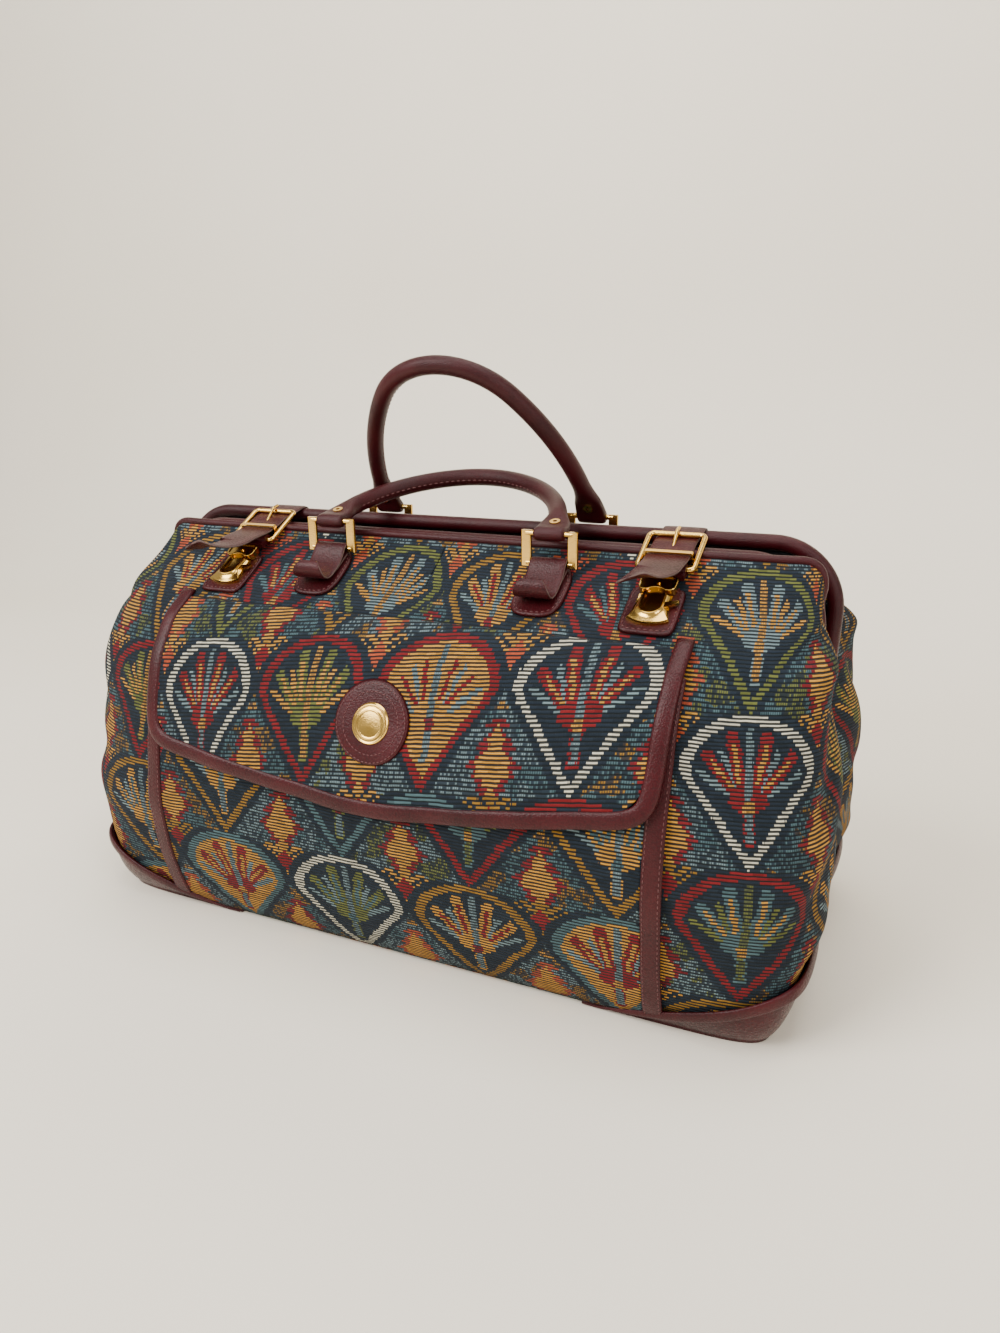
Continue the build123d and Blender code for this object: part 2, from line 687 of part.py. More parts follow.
def lock_patch(side):
    sketch = Pos(0, -SLIDE_BELLY / 2) * RectangleRounded(
        LOCK_PATCH_WIDTH, LOCK_PATCH_LENGTH, LOCK_CORNER
    )
    return layer(prism(lock_plane(side), sketch), SEAM_GAP, PATCH_REACH)


def bell(half_top, half_foot, up, down, belly):
    sides = [
        Line((-half_top, up), (half_top, up)),
        Bezier((half_top, up), (half_top, -down / 2), (half_foot, -down)),
        ThreePointArc((half_foot, -down), (0, -down - belly), (-half_foot, -down)),
        Bezier((-half_foot, -down), (-half_top, -down / 2), (-half_top, up)),
    ]
    return make_face(sides)


def key_middle():
    return -CATCH_FOOT - SLIDE_WALL - KEY_LENGTH / 2


def lock_plate(side):
    base = bell(
        SLIDE_HALF_TOP + LOCK_MARGIN,
        SLIDE_HALF_FOOT + LOCK_MARGIN,
        SLIDE_UP + LOCK_MARGIN,
        SLIDE_DOWN + LOCK_MARGIN,
        SLIDE_BELLY,
    )
    slot = Pos(0, key_middle() - SLIDE_TRAVEL / 2) * Rectangle(
        2 * (KEY_HALF + SLIDE_PLAY), KEY_LENGTH + SLIDE_TRAVEL + 2 * SLIDE_PLAY
    )
    plate = extrude(lock_plane(side) * (base - slot), amount=LOCK_PLATE_TOP)
    return plate - half_body(PATCH_REACH + SEAM_GAP / 3)


def lock_slide(side):
    floor = LOCK_PLATE_TOP + SLIDE_PLAY
    half = TONGUE_WIDTH / 2 + TONGUE_PLAY
    rim = half + SLIDE_WALL
    rim_down = CATCH_FOOT - half
    levels = []
    for count, share in enumerate(FLARE_SHARES):
        level = floor + SLIDE_THICK * count / (len(FLARE_SHARES) - 1)
        outline = bell(
            rim + share * (SLIDE_HALF_TOP - rim),
            rim + share * (SLIDE_HALF_FOOT - rim),
            SLIDE_UP,
            rim_down + share * (SLIDE_DOWN - rim_down),
            rim + share * (SLIDE_BELLY - rim),
        )
        levels.append(Plane.XY.offset(level) * outline)
    skirt = loft(levels)
    ear_outline = Polyline(
        (0, EAR_LOW), (EAR_REACH, EAR_HIGH - 2 * EAR_TIP), (EAR_REACH, EAR_HIGH), (0, 0), (0, EAR_LOW)
    )
    ear = make_face(ear_outline)
    ear = fillet(ear.vertices().group_by(Axis.X)[-1], EAR_TIP * EAR_ROUND_SHARE)
    skirt += extrude(Plane.XY.offset(floor) * ear, amount=EAR_THICK)
    pocket = Pos(0, (SLIDE_UP - rim_down) / 2) * Rectangle(2 * half, SLIDE_UP + rim_down)
    pocket += Pos(0, -rim_down) * Circle(half)
    skirt -= extrude(Plane.XY.offset(floor) * pocket, amount=SLIDE_THICK)
    key = Pos(0, key_middle(), floor - KEY_DEPTH / 2 + SLIDE_PLAY) * Box(
        2 * KEY_HALF, KEY_LENGTH, KEY_DEPTH + 2 * SLIDE_PLAY
    )
    return lock_plane(side) * (skirt + key)


def closure(name, side):
    return {
        f"strap_anchor_{name}": strap_anchor(side),
        f"strap_{name}": strap(side),
        f"buckle_{name}": buckle(side),
        f"prong_{name}": prong(side),
        f"keeper_{name}": keeper(side),
        f"billet_{name}": billet(side),
        f"hasp_{name}": hasp(side),
        f"lock_patch_{name}": lock_patch(side),
        f"lock_plate_{name}": lock_plate(side),
        f"lock_slide_{name}": lock_slide(side),
    }


def ring_and_chape(name, side):
    leather = chape(side)
    parts = {f"front_{key}_{name}": body for key, body in leather.items()}
    parts |= {f"back_{key}_{name}": mirror(body, about=Plane.XZ) for key, body in leather.items()}
    parts[f"front_ring_{name}"] = ring(side)
    parts[f"back_ring_{name}"] = mirror(ring(side), about=Plane.XZ)
    return parts


def handles():
    parts = {}
    for name, rise, crown, lean in (
        ("front", FRONT_RISE, FRONT_CROWN, FRONT_LEAN),
        ("back", BACK_HANDLE_RISE, BACK_CROWN, BACK_LEAN),
    ):
        grip, eyelets = handle(rise, crown)
        parts[f"{name}_handle"] = handle_plane(lean) * grip
        parts[f"{name}_handle_eyelets"] = handle_plane(lean) * eyelets
    return parts


bag = body_panels()
bag["base_board"] = base_board()
bag["front_frame_bar"] = frame_bar(FRONT_FOOT, FRONT_HALF, FRONT_TOP)
bag["front_frame_sleeve"] = frame_sleeve(FRONT_FOOT, FRONT_HALF, FRONT_TOP)
bag["back_frame_bar"] = frame_bar(BACK_FOOT, BACK_HALF, BACK_TOP)
bag["back_frame_sleeve"] = frame_sleeve(BACK_FOOT, BACK_HALF, BACK_TOP)
bag |= pocket()
bag |= flap()
bag |= badge()
bag |= handles()
for name, side in SIDES.items():
    bag[f"boot_{name}"] = boot(side)
    bag[f"hinge_rivet_{name}"] = hinge_rivet(side)
    bag |= ring_and_chape(name, side)
    bag |= closure(name, side)

for name, body in bag.items():
    export_step(body, f"parts/{name}.step")
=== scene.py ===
import math

import bmesh
import bpy
import numpy as np
from mathutils import Matrix, Vector


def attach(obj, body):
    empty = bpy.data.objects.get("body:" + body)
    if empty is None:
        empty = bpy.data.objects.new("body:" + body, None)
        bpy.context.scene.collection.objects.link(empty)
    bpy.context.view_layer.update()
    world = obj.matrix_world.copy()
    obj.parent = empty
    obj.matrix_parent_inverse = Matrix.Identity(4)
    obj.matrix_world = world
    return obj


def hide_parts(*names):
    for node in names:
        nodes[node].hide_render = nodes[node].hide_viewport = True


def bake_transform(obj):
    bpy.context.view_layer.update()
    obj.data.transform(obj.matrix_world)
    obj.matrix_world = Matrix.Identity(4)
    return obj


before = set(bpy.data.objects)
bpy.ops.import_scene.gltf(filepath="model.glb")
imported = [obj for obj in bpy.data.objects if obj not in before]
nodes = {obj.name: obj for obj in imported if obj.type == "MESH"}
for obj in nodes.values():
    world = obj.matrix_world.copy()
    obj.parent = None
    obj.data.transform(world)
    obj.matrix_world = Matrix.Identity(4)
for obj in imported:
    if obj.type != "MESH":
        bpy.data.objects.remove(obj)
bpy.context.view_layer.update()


# Studio: a pale counter that curves up into a pale wall, a large soft light high on the left,
# weaker ones on the right and overhead, and the camera a little above the bag and to its right.
class Shade:
    """A socket of a material, so that shader sums read as plain arithmetic."""

    def __init__(self, tree, socket):
        self.tree = tree
        self.socket = socket

    def node(self, kind, settings=None, inputs=None, output=0):
        """A new node with its settings and its sockets, as a Shade on one of its outputs."""
        made = self.tree.nodes.new(kind)
        for key, value in (settings or {}).items():
            if key == "interpolation":
                made.color_ramp.interpolation = value
            elif key == "stops":
                stops = made.color_ramp.elements
                while len(stops) < len(value):
                    stops.new(1.0)
                for stop, (position, colour) in zip(stops, value):
                    stop.position = position
                    stop.color = (*colour, 1.0)
            else:
                setattr(made, key, value)
        for key, value in (inputs or {}).items():
            if isinstance(value, Shade):
                self.tree.links.new(value.socket, made.inputs[key])
            elif made.inputs[key].type == "RGBA":
                made.inputs[key].default_value = (*value, 1.0)
            else:
                made.inputs[key].default_value = value
        return Shade(self.tree, made.outputs[output])

    def math(self, operation, first, second=0.0):
        return self.node("ShaderNodeMath", {"operation": operation}, {0: first, 1: second})

    def __add__(self, other):
        return self.math("ADD", self, other)

    def __sub__(self, other):
        return self.math("SUBTRACT", self, other)

    def __rsub__(self, other):
        return self.math("SUBTRACT", other, self)

    def __mul__(self, other):
        return self.math("MULTIPLY", self, other)

    def __truediv__(self, other):
        return self.math("DIVIDE", self, other)

    def __lt__(self, other):
        return self.math("LESS_THAN", self, other)

    def __gt__(self, other):
        return self.math("GREATER_THAN", self, other)

    def __mod__(self, other):
        return self.math("FLOORED_MODULO", self, other)

    def __abs__(self):
        return self.math("ABSOLUTE", self)

    def __floor__(self):
        return self.math("FLOOR", self)

    __radd__ = __add__
    __rmul__ = __mul__

    def mix(self, low, high):
        """The colour low where this socket is 0 and high where it is 1."""
        return self.node("ShaderNodeMix", {"data_type": "RGBA"}, {0: self, 6: low, 7: high}, 2)

    def noise(self, scale, detail=2.0, dimensions="3D"):
        """Cloudy noise on this socket's coordinates, from 0 to 1."""
        return self.node(
            "ShaderNodeTexNoise",
            {"noise_dimensions": dimensions},
            {"Vector": self, "Scale": scale, "Detail": detail},
        )


def new_material(name, **sockets):
    """A material with its shader's fixed sockets set, and a Shade on its coordinates."""
    made = bpy.data.materials.new(name)
    made.use_nodes = True
    shader = made.node_tree.nodes["Principled BSDF"]
    for key, value in sockets.items():
        socket = shader.inputs[key.replace("_", " ")]
        socket.default_value = (*value, 1.0) if socket.type == "RGBA" else value
    coordinates = made.node_tree.nodes.new("ShaderNodeTexCoord")
    return made, Shade(made.node_tree, coordinates.outputs["Object"])


def finish_material(made, colour, roughness=None, height=None, depth=0.001, strength=1.0):
    """Links what varies over the surface to the shader."""
    shader = made.node_tree.nodes["Principled BSDF"].inputs
    links = made.node_tree.links
    links.new(colour.socket, shader["Base Color"])
    if roughness:
        links.new(roughness.socket, shader["Roughness"])
    if height:
        sockets = {"Height": height, "Distance": depth, "Strength": strength}
        bump = height.node("ShaderNodeBump", None, sockets)
        links.new(bump.socket, shader["Normal"])
    return made


def new_piece(name, mesh, *materials):
    made = bpy.data.objects.new(name, mesh)
    bpy.context.scene.collection.objects.link(made)
    for material in materials:
        mesh.materials.append(material)
    return made


COUNTER_HALF, COUNTER_NEAR, COUNTER_FAR = 4, 2.2, 0.62
HALF_RUN, COVE_RADIUS = 2.4, 0.5
counter = bpy.data.meshes.new("counter")
sheet = bmesh.new()
bmesh.ops.create_grid(sheet, x_segments=1, y_segments=60, size=1)
for point in sheet.verts:
    run = (point.co.y + 1) * HALF_RUN - COUNTER_NEAR
    bend = min(max((run - COUNTER_FAR) / COVE_RADIUS, 0), math.pi / 2)
    climbed = max(run - COUNTER_FAR - COVE_RADIUS * math.pi / 2, 0)
    point.co = (
        point.co.x * COUNTER_HALF,
        min(run, COUNTER_FAR) + COVE_RADIUS * math.sin(bend),
        COVE_RADIUS * (1 - math.cos(bend)) + climbed,
    )
sheet.to_mesh(counter)
sheet.free()
for polygon in counter.polygons:
    polygon.use_smooth = True
pale, place = new_material("pale_counter", Roughness=0.55)
finish_material(pale, place.noise(3.0, 3.0).mix((0.855, 0.79, 0.675), (0.895, 0.845, 0.74)))
new_piece("counter", counter, pale)

world = bpy.data.worlds.new("room")
bpy.context.scene.world = world
world.use_nodes = True
daylight = world.node_tree.nodes["Background"].inputs
daylight["Color"].default_value = (1.0, 0.97, 0.93, 1)
daylight["Strength"].default_value = 0.46
LIT_POINT = Vector((0, 0, 0.15))
for name, spot, width, watts, tint in (
    ("window", (-1.3, -1.7, 1.9), 1.6, 98, (1.0, 0.97, 0.93)),
    ("fill", (1.7, -1.2, 1.3), 1.2, 28, (1.0, 0.95, 0.88)),
    ("top", (0.1, 0.0, 2.2), 1.4, 34, (1.0, 0.97, 0.92)),
):
    lamp = bpy.data.lights.new(name, "AREA")
    lamp.size = width
    lamp.energy = watts
    lamp.color = tint
    lit = bpy.data.objects.new(name, lamp)
    lit.location = spot
    lit.rotation_euler = (LIT_POINT - Vector(spot)).to_track_quat("-Z", "Y").to_euler()
    bpy.context.scene.collection.objects.link(lit)

lens = bpy.data.cameras.new("camera")
lens.sensor_width = 36
lens.lens = 25.82
eye = bpy.data.objects.new("camera", lens)
eye.location = (0.3184, -0.6279, 0.4000)
eye.rotation_euler = (1.27145, 0.011766, 0.427989)
bpy.context.scene.collection.objects.link(eye)
bpy.context.scene.camera = eye


# Tapestry: ribbed jacquard in rows of framed palmettes, with a tree and a spray in the gaps between
# them, woven on a navy ground. One repeat is 90 mm wide and 90 mm high, in 38 rows of weft.
NAVY = (0.011, 0.017, 0.026)
CREAM = (0.46, 0.44, 0.355)
RED = (0.140, 0.0100, 0.0125)
GOLD = (0.43, 0.205, 0.029)
OLIVE = (0.095, 0.105, 0.028)
TEAL = (0.052, 0.094, 0.106)
SKY = (0.120, 0.172, 0.188)
CORAL = (0.30, 0.055, 0.022)
BRONZE = (0.215, 0.110, 0.016)
# Near black painted into the furrows between the ribs of weft, as painted shade
FURROW_SHADE = (0.008, 0.011, 0.013)
REPEAT = 0.090
# Millimetres, rows of weft, strands, flecks of dye and bound stitches to one repeat
CELL, PICKS, STRANDS, FLECKS, TICKS = 90.0, 38.0, 75.0, 15.0, 68.0
# A palmette's half width, the level where it is widest, its rise from there, and the foot of its fan
PALMETTE_HALF, PALMETTE_WIDEST, CROWN_RISE, FAN_FOOT = 40.5, 57.0, 33.0, 37.0
# Widths of a palmette's frame, of the frame with the ground inside it, and of the navy outside it
FRAME_WIDTH, RIM_WIDTH, NAVY_WIDTH = 5.6, 8.5, 5.0
TREE_HALF, SPRAY_HALF, SPRAY_FOOT, SPRAY_HEART = 20.0, 19.0, 60.0, 77.0
# Share of the half width against share of the height, of a palmette up to its widest and of a tree
OGEE = (
    (0.0, 0.0), (0.08, 0.13), (0.18, 0.29), (0.28, 0.45),
    (0.37, 0.59), (0.46, 0.75), (0.55, 0.92), (0.63, 1.0),
)
TREE = ((0.0, 0.30), (0.05, 0.16), (0.15, 0.62), (0.30, 0.26), (0.44, 0.06), (0.50, 0.0))
# Frame, ground, leaf, vein and middle leaf of the palmettes, three columns to each of four rows
PALMETTES = (
    (BRONZE, NAVY, GOLD, TEAL, SKY),
    (TEAL, NAVY, OLIVE, RED, SKY),
    (RED, NAVY, TEAL, GOLD, OLIVE),
    (RED, NAVY, OLIVE, GOLD, GOLD),
    (RED, GOLD, GOLD, RED, SKY),
    (CREAM, NAVY, RED, GOLD, SKY),
    (BRONZE, NAVY, GOLD, RED, SKY),
    (RED, NAVY, RED, GOLD, TEAL),
    (OLIVE, NAVY, SKY, GOLD, GOLD),
    (TEAL, GOLD, RED, GOLD, SKY),
    (CREAM, NAVY, OLIVE, TEAL, SKY),
    (BRONZE, NAVY, GOLD, RED, SKY),
)
# Bush, its second thread, edge, heart and spray of the florals in the gaps, in the same order
FLORALS = (
    (SKY, TEAL, RED, GOLD, GOLD),
    (SKY, OLIVE, RED, GOLD, GOLD),
    (TEAL, BRONZE, RED, GOLD, BRONZE),
    (SKY, OLIVE, RED, GOLD, GOLD),
    (SKY, TEAL, RED, GOLD, BRONZE),
    (TEAL, BRONZE, RED, GOLD, GOLD),
    (SKY, BRONZE, CORAL, GOLD, GOLD),
    (TEAL, OLIVE, CORAL, GOLD, GOLD),
    (TEAL, OLIVE, RED, GOLD, GOLD),
    (TEAL, BRONZE, RED, GOLD, CORAL),
    (SKY, TEAL, CORAL, GOLD, GOLD),
    (SKY, BRONZE, CORAL, GOLD, GOLD),
)
TABLE_COLUMNS, TABLE_ROWS = 3.0, 4.0


def yarns(table, cell_column, cell_row):
    """The yarns that a cell of the pattern is woven in, one for each column of its table."""
    kind = cell_column % TABLE_COLUMNS + (cell_row % TABLE_ROWS) * TABLE_COLUMNS
    share = (kind + 0.5) / (TABLE_COLUMNS * TABLE_ROWS)
    picked = []
    for k in range(len(table[0])):
        stops = [(n / len(table), row[k]) for n, row in enumerate(table)]
        settings = {"interpolation": "CONSTANT", "stops": stops}
        picked.append(share.node("ShaderNodeValToRGB", settings, {0: share}))
    return picked


def profile(points, share):
    """The half width that a profile has at a share of the height."""
    stops = [(level, (width, width, width)) for level, width in points]
    return share.node("ShaderNodeValToRGB", {"interpolation": "LINEAR", "stops": stops}, {0: share})


def chance(cell, pick_number):
    """A random value for each cell of each row of weft."""
    spot = cell.node("ShaderNodeCombineXYZ", None, {0: math.floor(cell), 1: pick_number})
    return cell.node("ShaderNodeTexWhiteNoise", {"noise_dimensions": "2D"}, {"Vector": spot})


def clamped(value, factor):
    """A value times a factor, kept between 0 and 1."""
    settings = {"operation": "MULTIPLY", "use_clamp": True}
    return value.node("ShaderNodeMath", settings, {0: value, 1: factor})


tapestry, place = new_material("tapestry", Roughness=0.85, Sheen_Weight=0.02, Specular_IOR_Level=0.12)
woven = place.node("ShaderNodeUVMap", {"uv_map": "weave"})
across = place.node("ShaderNodeSeparateXYZ", None, {0: woven}, 0)
upwards = place.node("ShaderNodeSeparateXYZ", None, {0: woven}, 1)
pick = upwards * PICKS + woven.noise(9.0, 1.0, "2D") * 0.35
pick_number = math.floor(pick)
pick_share = pick - pick_number
level = (pick_number + 0.5) / PICKS
strand = (math.floor(across * STRANDS) + 0.5) / STRANDS
fleck = chance(across * FLECKS + pick_number * 0.37, pick_number)
frayed = strand + (fleck - 0.5) * 0.016

column = math.floor(strand + 0.5)
row = math.floor(level)
x = abs(frayed - column) * CELL
y = (level - row) * CELL
crown = y > PALMETTE_WIDEST
out_share = x / PALMETTE_HALF
up_share = (y - PALMETTE_WIDEST) / CROWN_RISE
arch = place.math("SQRT", out_share * out_share + up_share * up_share)
waist = profile(OGEE, y / CELL) * PALMETTE_HALF
inset = ((1 - arch) * 34.0) * crown + (waist - x) * (1 - crown)


def leaf(lean, low, high, half, foot=0.0):
    """A stroke that leans out from the foot of the fan, from low to high along it."""
    rise = y - FAN_FOOT
    aside = abs((x - foot) * math.cos(lean) - rise * math.sin(lean))
    along = (x - foot) * math.sin(lean) + rise * math.cos(lean)
    return (aside < half) * (along > low) * (along < high)


frame_yarn, ground_yarn, leaf_yarn, vein_yarn, stem_yarn = yarns(PALMETTES, column, row)
palmette = leaf(1.00, 10.0, 36.0, 2.0, 0.5).mix(ground_yarn, stem_yarn)
palmette = leaf(0.72, 0.0, 41.0, 3.5, 0.5).mix(palmette, leaf_yarn)
palmette = leaf(0.70, 14.0, 34.0, 1.2, 1.0).mix(palmette, vein_yarn)
palmette = leaf(0.45, 4.0, 36.0, 1.7, 1.5).mix(palmette, stem_yarn)
cup = (y > x * x * 0.035 + 33.5) * (y < 43.0) * (x < 12.0)
palmette = cup.mix(palmette, leaf_yarn)
palmette = leaf(0.21, 0.0, 45.0, 3.7, 2.0).mix(palmette, leaf_yarn)
palmette = leaf(0.20, 14.0, 38.0, 1.4, 2.6).mix(palmette, vein_yarn)
palmette = leaf(0.0, -22.0, -4.0, 3.2).mix(palmette, leaf_yarn)
stem = leaf(0.0, -20.0, 48.0, 2.3)
palmette = stem.mix(palmette, stem_yarn)
palmette = leaf(0.0, -3.5, 4.0, 2.8).mix(palmette, vein_yarn)
palmette = (inset < RIM_WIDTH).mix(palmette, ground_yarn)
palmette = (inset < FRAME_WIDTH).mix(palmette, frame_yarn)

gap_column = math.floor(strand)
gap_x = abs(frayed - gap_column - 0.5) * CELL
bush_yarn, second_yarn, edge_yarn, heart_yarn, spray_yarn = yarns(FLORALS, gap_column, row + crown)
barbs = abs((y + gap_x * 0.55) / 8.0 % 1.0 - 0.5) * 13.0
taper = profile(TREE, y / CELL) * TREE_HALF
floral = (woven.noise(5.0, 2.0, "2D") > 0.56).mix(bush_yarn, second_yarn)
tree = (gap_x < taper + barbs) * (taper > 0.8) * (1 - crown)
floral = tree.mix(floral, edge_yarn)
core = (gap_x < taper + barbs * 0.5 - 2.4) * (taper > 1.6) * (1 - crown)
floral = core.mix(floral, heart_yarn)
floral = (abs(y - 47.0) * 2.0 + gap_x < 5.5).mix(floral, heart_yarn)
spray = (fleck > 0.90).mix(spray_yarn, BRONZE)
feathers = ((y - gap_x * 0.8) / 7.1 % 1.0 > 0.66) * (gap_x > 2.5)
spray = feathers.mix(spray, NAVY)
spray = (gap_x / 6.5 + abs(y - SPRAY_HEART) / 8.5 < 1.0).mix(spray, edge_yarn)
narrowing = place.math("MAXIMUM", y - 80.0, 0.0) * 1.2
fanned = (gap_x < barbs * 0.9 + SPRAY_HALF - narrowing) * (y > SPRAY_FOOT)
floral = fanned.mix(floral, spray)
floral = (inset > -NAVY_WIDTH).mix(floral, NAVY)

colour = (inset > 0.0).mix(floral, palmette)
tick = ((across * TICKS) % 1.0) < 0.42
sparse = chance(across * TICKS, pick_number) < 0.36
loose = (inset < -NAVY_WIDTH) * (1 - fanned) * (1 - core) * (1 - tree * 0.7)
loose = loose + stem * (inset > RIM_WIDTH) * 0.6
missing = place.math("MAXIMUM", tick * 0.75, sparse * 0.92)
colour = (missing * loose).mix(colour, NAVY)
grey = place.node("ShaderNodeRGBToBW", None, {0: colour})
bright = clamped(grey - 0.02, 6.0)
dyed = {0: colour, "Scale": fleck * 0.45 + 0.80}
colour = place.node("ShaderNodeVectorMath", {"operation": "SCALE"}, dyed)
# Painted shade: the furrows between the ribs of weft are darkened towards near black, more deeply in bright
# threads
slack = abs(pick_share * 2.0 - 1.0)
furrow_shade = clamped(slack - 0.55 + bright * 0.23, 5.0)
colour = (furrow_shade * 0.96).mix(colour, FURROW_SHADE)
finish_material(tapestry, colour, None, (1 - slack * slack) * (1 - tick * 0.25), 0.0009, 0.8)

lining, place = new_material("lining", Roughness=0.8)
twill = place.noise(900.0)
finish_material(lining, twill.mix((0.006, 0.008, 0.014), (0.018, 0.022, 0.034)), None, twill, 0.0003)


# Body: the lined tapestry is cut as a front and a back, sewn together under the hinges and across
# the base, and held open by the mouth frames. It bulges low down, and its ends fold inwards.
BODY_FLOOR, BODY_HEIGHT = 0.0025, 0.283
BODY_HALF_LENGTH, BODY_HALF_DEPTH, END_FOLD, FOLD_HALF = 0.287, 0.139, 0.024, 0.038
# Shares of the height, half length, half depth and end fold, and the power of the corners
BODY_ROWS = np.array(
    [
        (0.000, 0.900, 0.830, 0.00, 17.0),
        (0.035, 0.918, 0.872, 0.03, 15.0),
        (0.140, 0.951, 0.942, 0.15, 10.0),
        (0.320, 0.986, 1.000, 0.45, 7.0),
        (0.495, 1.000, 0.984, 0.90, 5.5),
        (0.636, 0.988, 0.918, 1.00, 5.5),
        (0.760, 0.968, 0.800, 0.95, 5.5),
        (0.848, 0.953, 0.619, 0.80, 6.0),
        (0.905, 0.938, 0.417, 0.55, 6.5),
        (0.954, 0.920, 0.266, 0.25, 7.0),
        (1.000, 0.893, 0.137, 0.00, 8.0),
    ]
)
ROW_LEVELS = BODY_FLOOR + BODY_HEIGHT * BODY_ROWS[:, 0]
ROW_SIZES = BODY_ROWS[:, 1:] * (BODY_HALF_LENGTH, BODY_HALF_DEPTH, END_FOLD, 1.0)
ROW_SLOPES = np.gradient(ROW_SIZES, ROW_LEVELS, axis=0)
# Creases and swellings: both ends in x and z, width, and depth outwards
CREASES = (
    (0.200, 0.238, 0.262, 0.262, 0.0065, -0.0050),
    (0.205, 0.222, 0.268, 0.240, 0.0090, 0.0030),
    (0.232, 0.150, 0.262, 0.228, 0.0100, -0.0040),
    (0.215, 0.085, 0.268, 0.135, 0.0120, -0.0045),
    (0.205, 0.060, 0.255, 0.075, 0.0090, 0.0030),
    (-0.210, 0.232, -0.262, 0.256, 0.0070, -0.0045),
    (-0.215, 0.120, -0.285, 0.112, 0.0140, -0.0060),
    (-0.225, 0.185, -0.285, 0.205, 0.0180, 0.0030),
    (-0.210, 0.150, -0.250, 0.215, 0.0090, -0.0035),
    (-0.020, 0.256, 0.110, 0.249, 0.0080, -0.0022),
)
# The lumps fade out over this height at the floor and at the mouth
CALM_FOOT, CALM_HEIGHT = 0.02, 0.05


def body_sizes(z):
    """Half length, half depth, end fold and corner power of the body at heights z."""
    k = np.clip(np.searchsorted(ROW_LEVELS, z) - 1, 0, len(ROW_LEVELS) - 2)
    gap = (ROW_LEVELS[k + 1] - ROW_LEVELS[k])[..., None]
    s = np.clip((z - ROW_LEVELS[k])[..., None] / gap, 0, 1)
    ends = ROW_SIZES[k] * (1 + 2 * s) * (1 - s) ** 2 + ROW_SIZES[k + 1] * s**2 * (3 - 2 * s)
    slopes = ROW_SLOPES[k] * s * (1 - s) ** 2 - ROW_SLOPES[k + 1] * s**2 * (1 - s)
    return np.moveaxis(ends + gap * slopes, -1, 0)


def body_relief(x, y, z):
    """The soft lumps and dents of stuffed cloth, in metres outwards."""
    lumps = 0.0016 * np.sin(21 * x + 17 * z + 0.6) * np.sin(26 * z - 9 * x + 1.1 + 4 * y)
    lumps += 0.0010 * np.sin(47 * x - 31 * z + 2.0) * np.sin(38 * z + 13 * x)
    lumps += 0.0006 * np.sin(90 * x + 55 * z) * np.sin(71 * z - 40 * x + 0.5)
    for x0, z0, x1, z1, wide, deep in CREASES:
        along = (x - x0) * (x1 - x0) + (z - z0) * (z1 - z0)
        share = np.clip(along / ((x1 - x0) ** 2 + (z1 - z0) ** 2), 0, 1)
        away = np.hypot(x - x0 - share * (x1 - x0), z - z0 - share * (z1 - z0))
        lumps += deep * np.exp(-((away / wide) ** 2)) * (0.55 + 0.45 * np.sin(np.pi * share))
    foot_share = np.clip((z - CALM_FOOT) / CALM_HEIGHT, 0, 1)
    return lumps * foot_share * np.clip((BODY_HEIGHT - z) / CALM_HEIGHT, 0, 1)


def body_wall(turn, z, out=0.0):
    """A point of the body's skin: turn runs from the right end round the front to the left end."""
    length, depth, fold, power = body_sizes(z)
    along, aside = np.abs(np.cos(turn)), np.sin(turn)
    span = (along**power + np.abs(aside) ** power) ** (-1 / power)
    relief = body_relief(length * np.cos(turn), depth * aside, z)
    y = (depth + out + relief) * aside * span
    x = (length + out + relief) * along * span - fold * np.exp(-((y / FOLD_HALF) ** 2))
    return np.stack([np.copysign(x, np.cos(turn)), -y, z], -1)


def body_front(x, z, out=0.0):
    """The point of the body's front at x and z, moved forwards by out."""
    length, depth, _, power = body_sizes(z)
    share = np.clip(1 - (np.abs(x) / (length + out)) ** power, 0.001, 1)
    return np.stack([x, -(depth + out + body_relief(x, depth, z)) * share ** (1 / power), z], -1)


# The cloth's run up the front, and its run round the body from the middle of the front
LOOP_LEVEL, LOOP_STEPS = 0.14, 2000
climb = np.linspace(BODY_FLOOR, BODY_FLOOR + BODY_HEIGHT, 400)
run_up = np.hypot(np.gradient(climb), np.gradient(body_sizes(climb)[1])).cumsum()
turns = np.linspace(0, math.pi, LOOP_STEPS)
loop = body_wall(turns, np.full(LOOP_STEPS, LOOP_LEVEL))
run_round = np.linalg.norm(np.gradient(loop, axis=0), axis=1).cumsum()
run_round -= run_round[LOOP_STEPS // 2]


def smooth(low, high, value):
    share = np.clip((value - low) / (high - low), 0, 1)
    return share * share * (3 - 2 * share)


